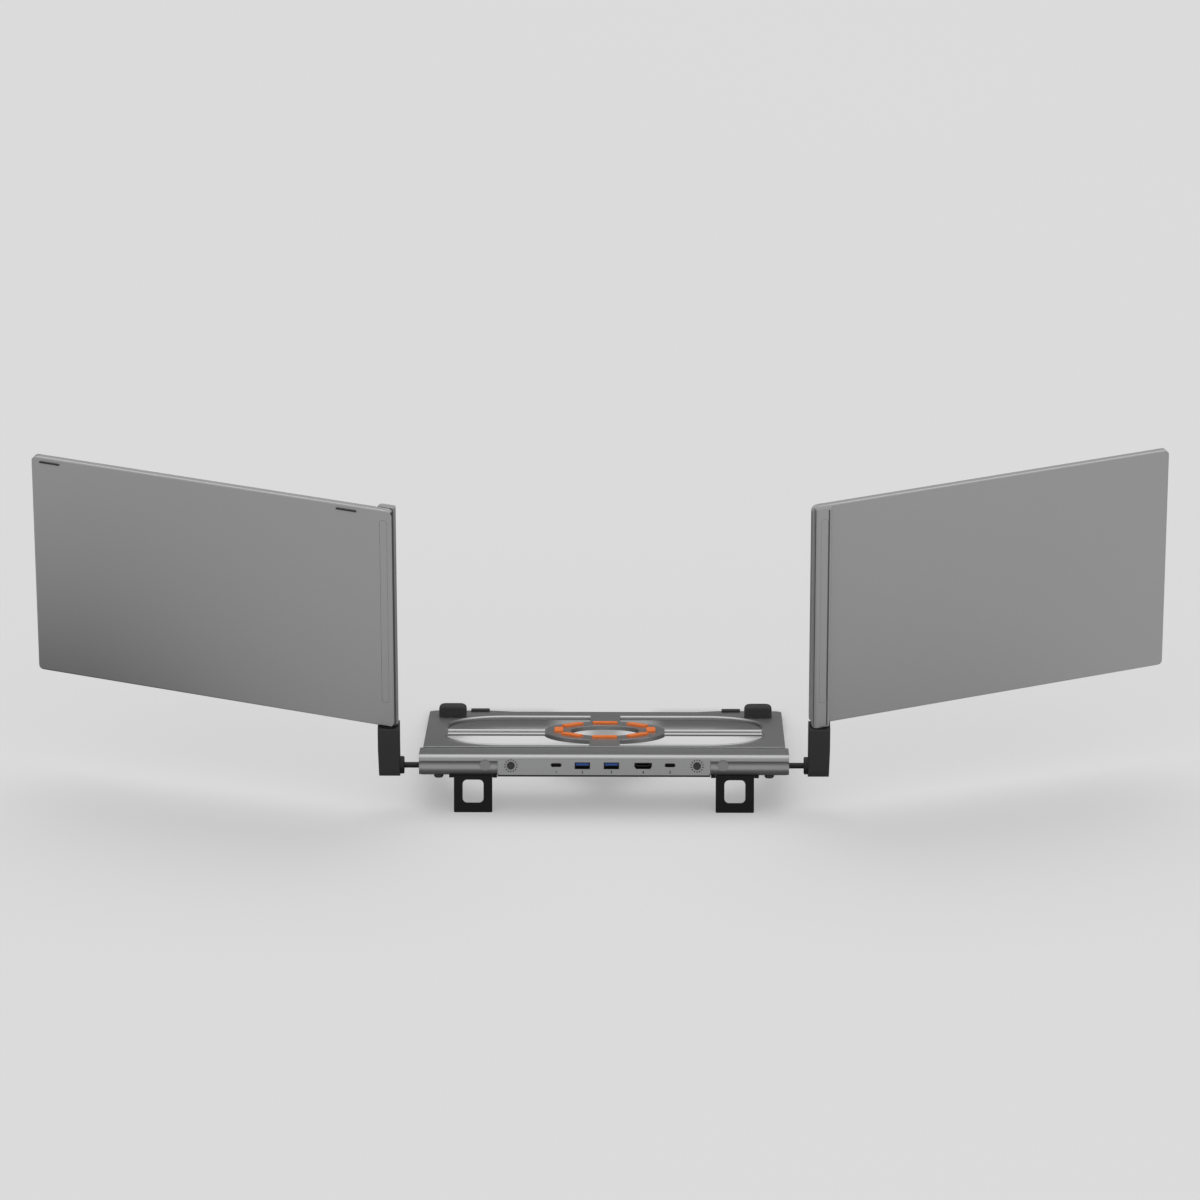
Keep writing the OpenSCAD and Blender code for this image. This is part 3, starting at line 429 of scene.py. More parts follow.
@dataclass(frozen=True)
class ScreenGlassFinish:
    """Glossy display glass: a black border round a slightly lighter picture area."""

    name: str = "screen_glass"
    border: Colour = (0.004, 0.004, 0.0045)
    picture: Colour = (0.012, 0.013, 0.016)
    roughness: float = 0.09
    coat: float = 0.6
    coat_roughness: float = 0.04
    border_mm: float = 7.0
    land_mm: float = 9.3
    wall_mm: float = 1.2

    def material(self, side: Side) -> bpy.types.Material:
        """Builds the glass of one screen.

        Args:
            side: The screen; its frame places the border.

        Returns:
            The material.
        """
        made, graph, shader = new_material(f"{side.word}_{self.name}")
        place = graph.add("ShaderNodeTexCoord").outputs["Object"]
        axes = LAYOUT.screen(side)
        rim = self.wall_mm + self.border_mm
        spans = (
            (axes.col[0].to_3d() * side.value, self.land_mm + self.border_mm, LAYOUT.screen_out - rim),
            (axes.col[2].to_3d(), LAYOUT.screen_w0 + rim, LAYOUT.screen_top - rim),
        )
        masks = []
        for direction, low, high in spans:
            along = graph.add("ShaderNodeVectorMath", {0: place, 1: direction}, operation="DOT_PRODUCT")
            middle = direction.dot(axes.translation) + (low + high) / 2 * MM
            masks.append(graph.compute("COMPARE", along.outputs["Value"], middle, (high - low) / 2 * MM))
        surface = {
            "Base Color": graph.mix(graph.product(*masks), self.border, self.picture),
            "Roughness": self.roughness,
            "Coat Weight": self.coat,
            "Coat Roughness": self.coat_roughness,
        }
        graph.feed(shader, surface)
        return made


# ---------------------------------------------------------------------------
# Mesh making
# ---------------------------------------------------------------------------


def mesh_piece(name: str, points: list[Vector], faces: Faces, smooth: bool = False) -> bpy.types.Object:
    """Makes a mesh object and links it to the scene.

    Args:
        name: The piece's name.
        points: Its points in the row frame, in metres.
        faces: Its faces as tuples of indices.
        smooth: Whether the faces shade smoothly.

    Returns:
        The object.
    """
    mesh = bpy.data.meshes.new(name)
    mesh.from_pydata([tuple(p) for p in points], [], faces)
    mesh.validate()
    if smooth:
        mesh.polygons.foreach_set("use_smooth", [True] * len(mesh.polygons))
        mesh.set_sharp_from_angle(angle=math.radians(SHARP_ANGLE))
    made = bpy.data.objects.new(name, mesh)
    bpy.context.scene.collection.objects.link(made)
    return made


def rounded_outline(width: float, height: float, radius: float, steps: int = 8) -> Section:
    """The outline of a rounded rectangle about the origin, counter-clockwise."""
    outline: Section = []
    corners = ((1, 1, 0), (-1, 1, 90), (-1, -1, 180), (1, -1, 270))
    for sx, sy, start in corners:
        cx, cy = sx * (width / 2 - radius), sy * (height / 2 - radius)
        for i in range(steps + 1):
            angle = math.radians(start + 90 * i / steps)
            outline.append((cx + radius * math.cos(angle), cy + radius * math.sin(angle)))
    return outline


@dataclass
class CrownedSlab:
    """A soft slab with a rounded outline, a rounded upper edge and a slightly crowned top, in mm."""

    width: float
    depth: float
    height: float
    corner: float
    edge: float
    crown: float = 0.0
    steps: int = 8
    crown_shares: tuple[float, ...] = (0.3, 0.6, 0.85)
    corner_ease: float = 0.5
    least_radius: float = 0.05

    def rings(self) -> Section:
        """The (inset, height) of each loop from the foot to the middle of the top."""
        loops = [(0.0, 0.0), (0.0, self.height - self.edge - self.crown)]
        for i in range(1, self.steps + 1):
            angle = math.radians(90 * i / self.steps)
            inset = self.edge * (1 - math.cos(angle))
            loops.append((inset, self.height - self.crown - self.edge * (1 - math.sin(angle))))
        reach = min(self.width, self.depth) / 2
        for share in self.crown_shares:
            inset = self.edge + (reach - self.edge) * share
            loops.append((inset, self.height - self.crown * (1 - share) ** 2))
        return loops

    def build(self) -> Solid:
        """The slab's points in mm and its faces, closed, its foot at z = 0."""
        points: list[Vector] = []
        faces: Faces = []
        count = 4 * (self.steps + 1)
        for inset, level in self.rings():
            width, depth = self.width - 2 * inset, self.depth - 2 * inset
            eased = min(self.corner, width / 2, depth / 2) - inset * self.corner_ease
            radius = min(max(eased, self.least_radius), width / 2, depth / 2)
            points += [Vector((x, y, level)) for x, y in rounded_outline(width, depth, radius, self.steps)]
        loops = len(points) // count
        for loop in range(loops - 1):
            for i in range(count):
                a, b = loop * count + i, loop * count + (i + 1) % count
                faces.append((a, b, b + count, a + count))
        faces.append(tuple(range(count - 1, -1, -1)))
        faces.append(tuple(range((loops - 1) * count, loops * count)))
        return points, faces


def gather(parts: Iterable[Placed]) -> Solid:
    """Joins several meshes in mm into one set of points in metres.

    Args:
        parts: Points in mm, faces, and the matrix that places them (its translation in metres).

    Returns:
        All points in the row frame and all faces.
    """
    points: list[Vector] = []
    faces: Faces = []
    for local, loops, place in parts:
        start = len(points)
        points += [place @ (p * MM) for p in local]
        faces += [tuple(i + start for i in loop) for loop in loops]
    return points, faces


def block(size: Point, centre: Point) -> Solid:
    """A plain box in mm about a centre."""
    points = [
        Vector((centre[0] + sx * size[0] / 2, centre[1] + sy * size[1] / 2, centre[2] + sz * size[2] / 2))
        for sx in (-1, 1)
        for sy in (-1, 1)
        for sz in (-1, 1)
    ]
    faces = [(0, 1, 3, 2), (4, 6, 7, 5), (0, 4, 5, 1), (2, 3, 7, 6), (0, 2, 6, 4), (1, 5, 7, 3)]
    return points, faces


def rectangle(y0: float, z0: float, y1: float, z1: float) -> Section:
    """A rectangular section from one corner to the opposite one."""
    return [(y0, z0), (y1, z0), (y1, z1), (y0, z1)]


def prism(section: Section, start: float, end: float) -> Solid:
    """A bar along x in mm with one section throughout.

    Args:
        section: The section's (y, z) corners in order.
        start: Its lower x.
        end: Its upper x.

    Returns:
        Its points in mm and its faces.
    """
    count = len(section)
    points = [Vector((x, y, z)) for x in (start, end) for y, z in section]
    faces: Faces = [(i, (i + 1) % count, (i + 1) % count + count, i + count) for i in range(count)]
    faces += [tuple(range(count - 1, -1, -1)), tuple(range(count, 2 * count))]
    return points, faces


def at(x: float, y: float, z: float) -> Matrix:
    """A translation given in millimetres."""
    return Matrix.Translation((x * MM, y * MM, z * MM))


# ---------------------------------------------------------------------------
# Dressing
# ---------------------------------------------------------------------------


class Wardrobe:
    """Makes each material once and puts it on CAD nodes and new pieces."""

    def __init__(self, frame: dict) -> None:
        """Keeps the frame and builds the shared effects."""
        self.nodes: dict[str, bpy.types.Object] = frame["nodes"]
        self.effects = SurfaceEffects()
        self._made: dict[str, bpy.types.Material] = {}

    def material(self, finish: Finish) -> bpy.types.Material:
        """The finish's material, built at its first use."""
        if finish.name not in self._made:
            self._made[finish.name] = finish.material(self.effects)
        return self._made[finish.name]

    def put_on(self, thing: bpy.types.Object, material: bpy.types.Material) -> None:
        """Gives a piece one material in every slot."""
        if not thing.material_slots:
            thing.data.materials.append(material)
        for place in thing.material_slots:
            place.material = material

    def dress_node(self, node: str, finish: Finish) -> None:
        """Gives a CAD node its finish."""
        self.put_on(self.nodes[node], self.material(finish))
        log.info("node %s: %s", node, finish.name)

    def dress_piece(
        self,
        piece: bpy.types.Object,
        finish: Finish,
        body: str,
        stands_for: tuple[str, ...] = (),
    ) -> None:
        """Gives a new piece its finish, body and slot.

        Args:
            piece: The new object.
            finish: Its finish.
            body: The CAD body that it rides on.
            stands_for: The CAD nodes that it replaces.
        """
        self.put_on(piece, self.material(finish))
        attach(piece, body)
        if stands_for:
            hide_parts(*stands_for)
        log.info("piece %s on %s: %s", piece.name, body, finish.name)

    def add_trim(self, name: str, parts: Iterable[Placed], finish: Finish, body: str) -> None:
        """Makes and dresses a flat-faced piece that replaces no node.

        Args:
            name: The new piece's name.
            parts: Its placed meshes in mm.
            finish: Its finish.
            body: The CAD body that it rides on.
        """
        self.dress_piece(mesh_piece(name, *gather(parts)), finish, body)


@dataclass
class PortsBar:
    """The ports bar with its sockets, dials, feet and printed numbers; places in mm in its frame (x, u, v)."""

    metal_nodes: tuple[str, ...] = ("hub_shell", "port_plate")
    dark_nodes: tuple[str, ...] = ("rod_guides", "dial_encoders", "usb_c_tongues", "hdmi_tongue")
    socket_nodes: tuple[str, ...] = ("usb_c_sockets", "usb_a_sockets", "hdmi_socket")
    steel_nodes: tuple[str, ...] = ("cover_screws", "leg_pins")
    contact_size: Point = (1.0, 8.0, 0.1)
    contact_x: tuple[float, ...] = (-3.75, -1.25, 1.25, 3.75)
    contact_u: float = 6.2
    contact_v: float = 8.93
    usb_a_x: Span = (-18.8, 6.5)
    numbers: tuple[tuple[str, float], ...] = (("1", -41.6), ("2", -18.8), ("3", 6.5), ("4", 34.1), ("5", 57.5))
    number_size: float = 3.2
    number_weight: float = 0.1
    number_proud: float = 0.01
    number_v: float = 3.2
    dial_x: float = 81.0
    dial_v: float = 8.8
    dot_count: int = 14
    dot_ring_r: float = 5.2
    dot_r: float = 0.6
    dot_sides: int = 10
    dot_proud: float = 0.02
    plate_w: float = 185.2
    plate_low: float = 0.6
    lip_depth: Span = (0.05, 1.2)
    lip_low: float = -0.75

    def build(self, wardrobe: Wardrobe) -> None:
        """Dresses the bar's nodes and adds its small visible pieces."""
        dressed = (
            (self.metal_nodes, ANODIZED),
            (self.dark_nodes, BLACK_PLASTIC),
            (self.socket_nodes, SHADED_SOCKET_STEEL),
            (self.steel_nodes, STEEL),
            (("screw_plugs",), PLUG_METAL),
            (("hub_bottom_cover",), COVER_METAL),
            (("main_circuit_board",), BOARD_GREEN),
            (("usb_a_tongues",), BLUE_PLASTIC),
            (("hub_feet",), DARK_RUBBER),
            (("left_dial", "right_dial"), DIAL_PLASTIC),
        )
        for nodes, finish in dressed:
            for node in nodes:
                wardrobe.dress_node(node, finish)
        self._contacts(wardrobe)
        self._numbers(wardrobe)
        self._dots(wardrobe)
        self._cover_lip(wardrobe)

    def _contacts(self, wardrobe: Wardrobe) -> None:
        """Adds the gold contact strips under the blue tongues, darkened as painted shade."""
        places = [(x + step, self.contact_u, self.contact_v) for x in self.usb_a_x for step in self.contact_x]
        parts = [(*block(self.contact_size, place), LAYOUT.base()) for place in places]
        wardrobe.add_trim("usb_a_contacts", parts, SHADED_GOLD_CONTACT, "base")

    def _numbers(self, wardrobe: Wardrobe) -> None:
        """Prints a small plain number under each port."""
        for text, x in self.numbers:
            curve = bpy.data.curves.new(f"port_number_{text}", "FONT")
            curve.body = text
            curve.size = self.number_size * MM
            curve.align_x = "CENTER"
            curve.align_y = "CENTER"
            curve.extrude = self.number_proud * MM
            curve.offset = self.number_weight * MM
            piece = bpy.data.objects.new(f"port_number_{text}", curve)
            bpy.context.scene.collection.objects.link(piece)
            place = LAYOUT.base() @ at(x, -self.number_proud, self.number_v)
            piece.matrix_world = place @ Matrix.Rotation(math.radians(90), 4, "X")
            wardrobe.dress_piece(piece, DARK_PRINT, "base")

    def _dots(self, wardrobe: Wardrobe) -> None:
        """Prints a ring of dots round each dial."""
        turns = [math.tau * i / self.dot_sides for i in range(self.dot_sides)]
        disc = [Vector((self.dot_r * math.cos(turn), 0.0, self.dot_r * math.sin(turn))) for turn in turns]
        parts = []
        for side in Side:
            for i in range(self.dot_count):
                turn = math.tau * i / self.dot_count
                x, v = self.dot_ring_r * math.sin(turn), self.dot_ring_r * math.cos(turn)
                place = at(side.value * self.dial_x + x, -self.dot_proud, self.dial_v + v)
                parts.append((disc, [tuple(range(self.dot_sides))], LAYOUT.base() @ place))
        wardrobe.add_trim("dial_dots", parts, DARK_PRINT, "base")

    def _cover_lip(self, wardrobe: Wardrobe) -> None:
        """Adds a dark strip along the bar's lower edge under the port plate."""
        near, far = self.lip_depth
        section = rectangle(near, self.lip_low, far, self.plate_low)
        under_strip = (*prism(section, -self.plate_w / 2, self.plate_w / 2), LAYOUT.base())
        wardrobe.add_trim("cover_lip", [under_strip], BLACK_PLASTIC, "base")


@dataclass
class LaptopDeck:
    """The deck with its ring pads, stops, bumpers and bright edges; places in mm in the bar's frame (x, u, v)."""

    width: float = 317.0
    near_u: float = 38.8
    end_gap: float = 0.3
    line_d: float = 1.6
    line_h: float = 0.42
    lip_h: float = 0.55
    lip_runs: tuple[float, float, float] = (1.0, 1.6, 2.4)
    opening_half: float = 139.0
    opening_near: float = 56.0
    opening_far: float = 216.0
    opening_r: float = 50.0
    opening_steps: int = 18
    opening_lips: Span = (0.9, 1.05)
    bar_near: float = 124.0
    bar_far: float = 146.0
    bar_x: Span = (53.0, 139.0)
    bar_rib_u: float = 136.0
    bar_rib_h: float = 1.1
    bar_nose: float = 1.1
    bridge_half: float = 13.5
    ring_u: float = 137.0
    pad_ring_r: float = 40.8
    pad_count: int = 8
    pad: CrownedSlab = field(default_factory=lambda: CrownedSlab(22.4, 8.1, 2.0, 2.5, 0.6, 0.15))
    stop: CrownedSlab = field(default_factory=lambda: CrownedSlab(24.6, 16.0, 11.8, 4.8, 4.2, 0.3))
    stop_x: float = 137.0
    stop_u: float = 219.0
    cap: CrownedSlab = field(default_factory=lambda: CrownedSlab(16.8, 8.9, 2.1, 1.0, 0.5, 0.1))
    cap_x: float = 113.0
    cap_u: float = 250.2

    def build(self, wardrobe: Wardrobe) -> None:
        """Dresses the deck, adds its edges and replaces its rubber pieces with softer forms."""
        wardrobe.dress_node("deck_frame", DECK_METAL)
        wardrobe.dress_node("deck_screws", STEEL)
        wardrobe.dress_node("edge_bumpers", DARK_RUBBER)
        self._near_edge(wardrobe)
        self._opening_edge(wardrobe)
        self._cross_bar(wardrobe)
        turns = [Matrix.Rotation(math.tau * i / self.pad_count, 4, "Z") for i in range(self.pad_count)]
        ring = [at(0, self.ring_u, LAYOUT.top_v) @ turn @ at(0, self.pad_ring_r, 0) for turn in turns]
        stops = [at(side.value * self.stop_x, self.stop_u, LAYOUT.top_v) for side in Side]
        caps = [at(side.value * self.cap_x, self.cap_u, LAYOUT.top_v) for side in Side]
        soft = (
            ("soft_ring_pads", self.pad, ring, GRIP_ORANGE, "grip_orange", ("ring_pads",)),
            ("soft_laptop_stops", self.stop, stops, DARK_RUBBER, "dark_rubber", ("laptop_stops",)),
            ("edge_bumper_caps", self.cap, caps, DARK_RUBBER, "dark_rubber", ()),
        )
        for name, slab, places, finish, slot, stands_for in soft:
            parts = [(*slab.build(), LAYOUT.base() @ place) for place in places]
            piece = mesh_piece(name, *gather(parts), smooth=True)
            wardrobe.dress_piece(piece, finish, "base", stands_for)

    def _near_edge(self, wardrobe: Wardrobe) -> None:
        """Adds the deck's eased near edge, which stands over a dark strip of painted shade where it meets the bar.
        """
        half = self.width / 2 - self.end_gap
        low, high = LAYOUT.top_v, LAYOUT.top_v + self.line_h
        # A dark rubber-toned strip paints the shade of the step under the raised edge.
        line = rectangle(self.near_u, low, self.near_u + self.line_d, high)
        seam = (*prism(line, -half, half), LAYOUT.base())
        wardrobe.add_trim("deck_seam_line", [seam], DARK_RUBBER, "base")
        edge = (*prism(self._lip(self.near_u, high, self.lip_h), -half, half), LAYOUT.base())
        wardrobe.add_trim("deck_near_edge", [edge], DECK_METAL, "base")

    def _lip(self, near: float, low: float, height: float) -> Section:
        """The section of a raised lip that slopes up from its near side."""
        rise, crest, end = (near + run * height for run in self.lip_runs)
        return [(near, low), (rise, low + height), (crest, low + height), (end, low)]

    def _opening_path(self, far: bool) -> list[tuple[float, float, float, float]]:
        """Half of the opening's outline on the right, from the bridge to the cross bar.

        Args:
            far: Whether it is the half beyond the cross bar.

        Returns:
            Points (x, u) and the outward directions there.
        """
        way, edge, end = (1.0, self.opening_far, self.bar_far) if far else (-1.0, self.opening_near, self.bar_near)
        centre = self.opening_half - self.opening_r
        path = [(self.bridge_half, edge, 0.0, way)]
        for i in range(self.opening_steps + 1):
            turn = math.radians(90 * i / self.opening_steps)
            x, u = math.sin(turn), way * math.cos(turn)
            path.append((centre + self.opening_r * x, edge + self.opening_r * (u - way), x, u))
        path.append((self.opening_half, end, 1.0, 0.0))
        return path

    def _opening_edge(self, wardrobe: Wardrobe) -> None:
        """Adds the raised, sloping lip round the opening."""
        parts = []
        for side in Side:
            for far, height in zip((False, True), self.opening_lips):
                section = self._lip(0.0, 0.0, height)
                count = len(section)
                path = self._opening_path(far)
                points = [
                    Vector((side.value * (x + out_x * reach), u + out_u * reach, LAYOUT.top_v + rise))
                    for x, u, out_x, out_u in path
                    for reach, rise in section
                ]
                faces: Faces = []
                for start in range(0, count * (len(path) - 1), count):
                    for j in range(count):
                        a, b = start + j, start + (j + 1) % count
                        faces.append((a, b, b + count, a + count))
                faces += [tuple(range(count)), tuple(range(len(points) - count, len(points)))]
                parts.append((points, faces, LAYOUT.base()))
        piece = mesh_piece("opening_lip", *gather(parts), smooth=True)
        wardrobe.dress_piece(piece, TRIM_METAL, "base")

    def _cross_bar(self, wardrobe: Wardrobe) -> None:
        """Adds the cross bar's rib and the sloping nose of its near edge."""
        near, top, low = self.bar_near, LAYOUT.top_v, LAYOUT.top_v - self.bar_nose
        nose = [(near, top), (near - self.bar_nose, low), (near, low)]
        parts = []
        for side in Side:
            start, end = sorted(side.value * x for x in self.bar_x)
            for section in (self._lip(self.bar_rib_u, top, self.bar_rib_h), nose):
                parts.append((*prism(section, start, end), LAYOUT.base()))
        wardrobe.add_trim("cross_bar_ribs", parts, TRIM_METAL, "base")


@dataclass
class FoldingLegs:
    """The two legs and their brackets."""

    nodes: tuple[str, ...] = ("leg_brackets", "left_leg", "right_leg")

    def build(self, wardrobe: Wardrobe) -> None:
        """Dresses the legs."""
        for node in self.nodes:
            wardrobe.dress_node(node, LEG_METAL)


@dataclass
class SlidingArm:
    """One rod with its flange, block and swivel."""

    side: Side
    steel_parts: tuple[str, ...] = ("rod_clip", "tilt_washers", "tilt_nut", "swivel_washers", "swivel_nut")
    black_parts: tuple[str, ...] = ("rod", "rod_flange", "swivel_pivot")
    plastic_parts: tuple[str, ...] = ("hinge_block", "block_cover")

    def build(self, wardrobe: Wardrobe) -> None:
        """Dresses one arm."""
        dressed = ((self.steel_parts, STEEL), (self.black_parts, BLACK_METAL), (self.plastic_parts, DARK_PLASTIC))
        for parts, finish in dressed:
            for part in parts:
                wardrobe.dress_node(f"{self.side.word}_{part}", finish)


@dataclass
class SideScreen:
    """One screen with its spine, back, display and glass; places in mm in its frame (s, n, w)."""

    side: Side
    glass: ScreenGlassFinish = field(default_factory=ScreenGlassFinish)
    skin_parts: tuple[str, ...] = ("spine", "spine_strip", "screen_back")
    foot_s: Span = (34.0, 312.0)
    foot_l: float = 18.4
    foot_h: float = 0.8
    foot_down: float = 4.8
    spine_half: float = 7.6
    spine_n: float = -3.5
    spine_r: float = 3.2
    seam_turn: Span = (4.0, 24.0)
    seam_steps: int = 4
    seam_s: Span = (3.5, 4.7)
    edge_n: Span = (-5.4, -1.4)
    seam_end: float = 1.4
    seam_proud: float = 0.05
    seam_sunk: float = 0.3

    def build(self, wardrobe: Wardrobe) -> None:
        """Dresses one screen."""
        word = self.side.word
        for part in self.skin_parts:
            wardrobe.dress_node(f"{word}_{part}", SCREEN_SKIN)
        wardrobe.dress_node(f"{word}_display_panel", DISPLAY_BLACK)
        wardrobe.put_on(wardrobe.nodes[f"{word}_screen_glass"], self.glass.material(self.side))
        log.info("node %s_screen_glass: %s", word, self.glass.name)
        self._seams(wardrobe)
        if self.side is Side.LEFT:
            self._feet(wardrobe)

    def _seam_sections(self) -> list[Section]:
        """The (s, n) sections of the dark strips: painted dark reflection on the spine cover's rounded edge on the
        right, painted shade at the panel's edge on the left.
        """
        proud, sunk = self.seam_proud, self.seam_sunk
        if self.side is Side.LEFT:
            near, far = self.edge_n
            return [rectangle(self.spine_half - sunk, near, self.spine_half + proud, far)]
        first, last = (math.radians(turn) for turn in self.seam_turn)
        turns = [first + (last - first) * i / self.seam_steps for i in range(self.seam_steps + 1)]
        centre = self.spine_r - self.spine_half
        outer, inner = (
            [(centre - reach * math.cos(turn), self.spine_n - reach * math.sin(turn)) for turn in turns]
            for reach in (self.spine_r + proud, self.spine_r - sunk)
        )
        face = self.spine_n - self.spine_r
        return [outer + inner[::-1], rectangle(self.seam_s[0], face - proud, self.seam_s[1], face + sunk)]

    def _seams(self, wardrobe: Wardrobe) -> None:
        """Adds the dark strips of painted shade and painted reflection along the spine."""
        low, high = LAYOUT.screen_w0 + self.seam_end, LAYOUT.screen_top - self.seam_end
        parts = []
        for section in self._seam_sections():
            points, faces = prism(section, low, high)
            parts.append(([Vector((p.y, p.z, p.x)) for p in points], faces, LAYOUT.screen(self.side)))
        word = self.side.word
        wardrobe.add_trim(f"{word}_spine_seams", parts, SPINE_SHADE_AND_REFLECTION, f"{word}_screen")

    def _feet(self, wardrobe: Wardrobe) -> None:
        """Replaces the two rubber lines along the top of the left screen's back with slimmer ones."""
        wardrobe.dress_node("left_screen_feet", DARK_RUBBER)
        axes = LAYOUT.screen(self.side)
        node = wardrobe.nodes["left_screen_feet"]
        depths = [(axes.inverted() @ node.matrix_world @ v.co).y / MM for v in node.data.vertices]
        near, far = min(depths), max(depths)
        size = (self.foot_l, far - near, self.foot_h)
        level = LAYOUT.screen_top - self.foot_down
        parts = [(*block(size, (self.side.value * s, (near + far) / 2, level)), axes) for s in self.foot_s]
        piece = mesh_piece("slim_screen_feet", *gather(parts))
        wardrobe.dress_piece(piece, DARK_RUBBER, "left_screen", ("left_screen_feet",))


# ---------------------------------------------------------------------------
# Studio
# ---------------------------------------------------------------------------


@dataclass
class Studio:
    """A pale lit table in a soft dome; shiny surfaces see softboxes over it and a dark room behind.

    Spans are smooth steps in metres on the floor, from none to full. A painted shadow dip is an inner half width,
    an outer one and a share; dome and softboxes are levels by the share of the way from the front horizon over the
    top to the back one.
    """

    floor_half: float = 9.0
    floor_tone: float = 0.425
    floor_rough: float = 0.9
    mottle: float = 0.004
    mottle_scale: float = 0.6
    table_glow: float = 0.66
    mirror_front: float = 0.31
    back_rise: Span = (0.05, 0.35)
    back_share: float = 0.57
    left_slope: float = 0.484
    left_rise: Span = (-0.02, 0.16)
    left_inner: Span = (-0.1, -0.3)
    left_outer: Span = (-0.85, -0.62)
    left_share: float = 1.0
    dip_rise: Span = (-0.36, -0.14)
    dips: tuple[tuple[float, float, float], ...] = ((0.19, 0.25, 0.70), (0.35, 0.60, 0.32))
    unlit_near: Span = (0.082, 0.102)
    unlit_far: Span = (0.16, 0.14)
    unlit_half: Span = (0.17, 0.14)
    unlit_gap: Span = (0.035, 0.055)
    unlit_share: float = 0.66
    backdrop: float = 0.71
    dome: tuple[Span, ...] = ((0.0, 0.88), (0.22, 0.88), (0.42, 0.80), (0.60, 0.72), (0.78, 0.68), (1.0, 0.68))
    softboxes: tuple[Span, ...] = (
        (0.0, 0.47), (0.22, 0.52), (0.42, 1.12), (0.60, 1.12), (0.78, 0.33), (1.0, 0.16),
    )
    sun_strength: float = 0.85
    sun_angle: float = 50.0
    sun_tilt: Span = (-27.0, 0.0)

    def build(self) -> None:
        """Makes the floor, the world and the light from above and behind."""
        self._floor()
        self._world()
        self._light()

    def _floor(self) -> None:
        """A wide matt floor at z = 0, lit from below a little; its image in metal darkens behind the object."""
        h = self.floor_half
        corners = [Vector((-h, -h, 0)), Vector((h, -h, 0)), Vector((h, h, 0)), Vector((-h, h, 0))]
        floor = mesh_piece("studio_floor", corners, [(0, 1, 2, 3)])
        made, graph, shader = new_material("studio_floor")
        place = graph.add("ShaderNodeTexCoord").outputs["Object"]
        noise = graph.add("ShaderNodeTexNoise", {"Vector": place, "Scale": self.mottle_scale})
        dark, light = grey(self.floor_tone - self.mottle), grey(self.floor_tone + self.mottle)
        tone = graph.mix(noise.outputs["Fac"], dark, light)
        parts = graph.add("ShaderNodeSeparateXYZ", {"Vector": place})
        x, y = parts.outputs["X"], parts.outputs["Y"]
        glossy = graph.add("ShaderNodeLightPath").outputs["Is Glossy Ray"]
        shown = graph.mix(glossy, tone, self._mirror(graph, x, y))
        surface = {
            "Roughness": self.floor_rough,
            "Specular IOR Level": 0.0,
            "Base Color": shown,
            "Emission Color": shown,
            "Emission Strength": self._glow(graph, x, y),
        }
        graph.feed(shader, surface)
        floor.data.materials.append(made)

    def _mirror(self, graph: ShaderGraph, x: Socket, y: Socket) -> Socket:
        """The floor's level in shiny surfaces: dark at the back and the left, with a painted shadow close to the
        ports bar.

        Args:
            graph: The floor's graph.
            x: The place across the floor.
            y: The place along it.

        Returns:
            The level.
        """
        depth = graph.compute("MULTIPLY_ADD", x, -self.left_slope, y)
        aside = graph.product(graph.step(x, self.left_inner), graph.step(x, self.left_outer))
        left = graph.product(graph.step(depth, self.left_rise), aside)
        level = graph.less(graph.step(y, self.back_rise), self.back_share)
        level = graph.product(level, graph.less(left, self.left_share))
        width, close = graph.compute("ABSOLUTE", x), graph.step(y, self.dip_rise)
        # Painted shadow of the ports bar in the floor's image in shiny surfaces.
        for inner, outer, share in self.dips:
            shadow_dip = graph.product(close, graph.step(width, (outer, inner)))
            level = graph.product(level, graph.less(shadow_dip, share))
        return graph.product(level, self.mirror_front)

    def _glow(self, graph: ShaderGraph, x: Socket, y: Socket) -> Socket:
        """The table's own light, cut back to paint a shadow under the deck's far rail on both sides of the ring.

        Args:
            graph: The floor's graph.
            x: The place across the floor.
            y: The place along it.

        Returns:
            The strength.
        """
        width = graph.compute("ABSOLUTE", x)
        # Painted shadow: the glow is cut back under the deck's far rail.
        band = graph.product(graph.step(y, self.unlit_near), graph.step(y, self.unlit_far))
        sides = graph.product(graph.step(width, self.unlit_half), graph.step(width, self.unlit_gap))
        return graph.product(graph.less(graph.product(band, sides), self.unlit_share), self.table_glow)

    def _ramp(self, graph: ShaderGraph, share: Socket, levels: tuple[Span, ...]) -> Socket:
        """The light's level at a share of the way from the front horizon over the top."""
        ramp = graph.add("ShaderNodeFloatCurve", {"Value": share})
        curve = ramp.mapping.curves[0]
        ramp.mapping.use_clip = False
        curve.points[0].location = levels[0]
        curve.points[1].location = levels[-1]
        for place, level in levels[1:-1]:
            curve.points.new(place, level)
        ramp.mapping.update()
        return ramp.outputs["Value"]

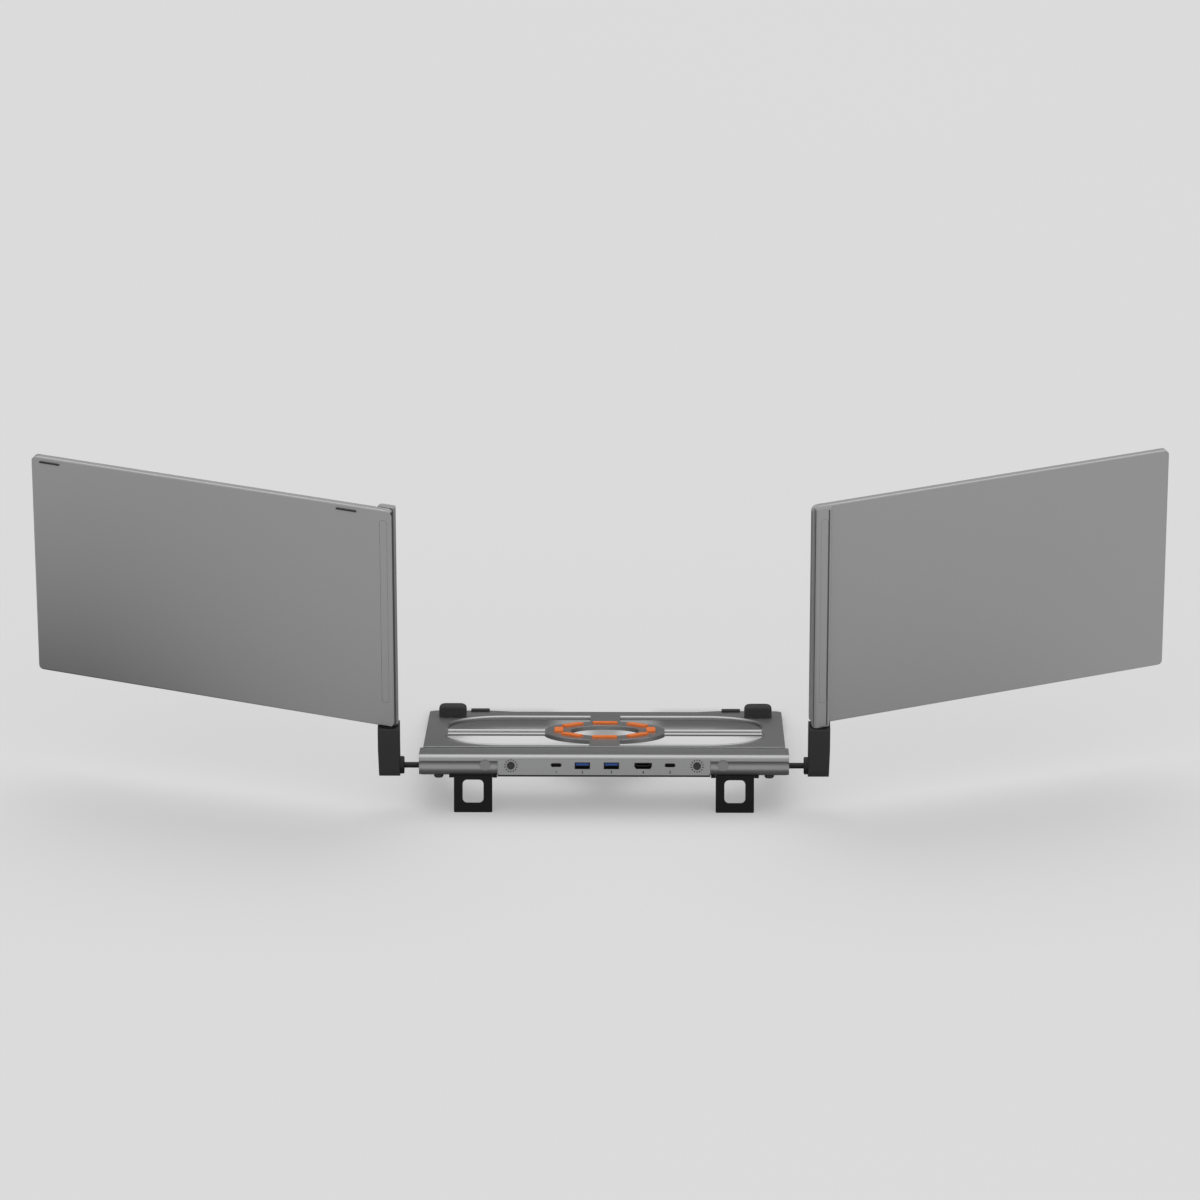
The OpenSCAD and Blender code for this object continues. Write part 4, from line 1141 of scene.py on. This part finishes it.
    def _world(self) -> None:
        """The dome for dull surfaces, the softboxes for shiny ones, and a plain pale backdrop for the camera."""
        world = bpy.data.worlds.new("soft_dome")
        bpy.context.scene.world = world
        world.use_nodes = True
        world.cycles.sampling_method = "NONE"  # the dome is even: rays find it
        graph = ShaderGraph(world.node_tree)
        place = graph.add("ShaderNodeTexCoord").outputs["Generated"]
        parts = graph.add("ShaderNodeSeparateXYZ", {"Vector": place}).outputs
        turn = graph.compute("ARCTAN2", parts["Z"], graph.product(parts["Y"], -1.0))
        share = graph.compute("DIVIDE", turn, math.pi)
        seen = graph.add("ShaderNodeLightPath").outputs
        dull, shiny = self._ramp(graph, share, self.dome), self._ramp(graph, share, self.softboxes)
        level = graph.add("ShaderNodeMix", {"Factor": seen["Is Glossy Ray"], "A": dull, "B": shiny})
        light = graph.nodes["Background"]
        graph.feed(light, {"Color": (1, 1, 1, 1), "Strength": level.outputs["Result"]})
        plain = graph.add("ShaderNodeBackground", {"Color": (*grey(self.backdrop), 1.0)})
        either = {"Fac": seen["Is Camera Ray"], 1: light.outputs["Background"], 2: plain.outputs["Background"]}
        choose = graph.add("ShaderNodeMixShader", either)
        graph.feed(graph.nodes["World Output"], {"Surface": choose.outputs["Shader"]})

    def _light(self) -> None:
        """A soft light from above and behind, seen by dull surfaces alone."""
        data = bpy.data.lights.new("overhead_softbox", "SUN")
        data.energy = self.sun_strength
        data.angle = math.radians(self.sun_angle)
        light = bpy.data.objects.new("overhead_softbox", data)
        light.visible_glossy = False
        light.rotation_euler = (math.radians(self.sun_tilt[0]), math.radians(self.sun_tilt[1]), 0.0)
        bpy.context.scene.collection.objects.link(light)


@dataclass
class Viewpoint:
    """The photograph's camera, fitted to the ports bar's lower rear edge, in mm and picture points."""

    pitch: float = 18.8835
    yaw: float = 0.3842
    distance: float = 6453.84
    focal: float = 7419.3
    origin_x: float = 603.93
    origin_y: float = 775.95
    picture: float = 1200.0
    sensor: float = 36.0
    clip_end: float = 100.0

    def build(self) -> None:
        """Makes the camera and sets it in the scene."""
        pitch, yaw = math.radians(self.pitch), math.radians(self.yaw)
        right = Vector((math.cos(yaw), math.sin(yaw), 0))
        away = Vector((-math.sin(yaw), math.cos(yaw), 0))
        up = away * math.sin(pitch) + Vector((0, 0, math.cos(pitch)))
        look = away * math.cos(pitch) - Vector((0, 0, math.sin(pitch)))
        half = self.picture / 2
        side_x = (self.origin_x - half) * self.distance / self.focal
        rise = -(self.origin_y - half) * self.distance / self.focal
        place = LAYOUT.base().translation - (right * side_x + up * rise + look * self.distance) * MM
        data = bpy.data.cameras.new("photo_camera")
        data.sensor_width = self.sensor
        data.lens = self.sensor * self.focal / self.picture
        data.clip_end = self.clip_end
        camera = bpy.data.objects.new("photo_camera", data)
        axes = Matrix((right, up, -look)).transposed().to_4x4()
        camera.matrix_world = Matrix.Translation(place) @ axes
        bpy.context.scene.collection.objects.link(camera)
        bpy.context.scene.camera = camera


def main() -> None:
    """Builds the camera, the studio and every sub-assembly in order."""
    logging.basicConfig(level=logging.INFO, format="%(message)s")
    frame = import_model()
    Viewpoint().build()
    Studio().build()
    wardrobe = Wardrobe(frame)
    PortsBar().build(wardrobe)
    LaptopDeck().build(wardrobe)
    FoldingLegs().build(wardrobe)
    for side in Side:
        SlidingArm(side).build(wardrobe)
        SideScreen(side).build(wardrobe)
    bpy.context.scene.view_settings.view_transform = "Standard"


if __name__ == "__main__":
    main()
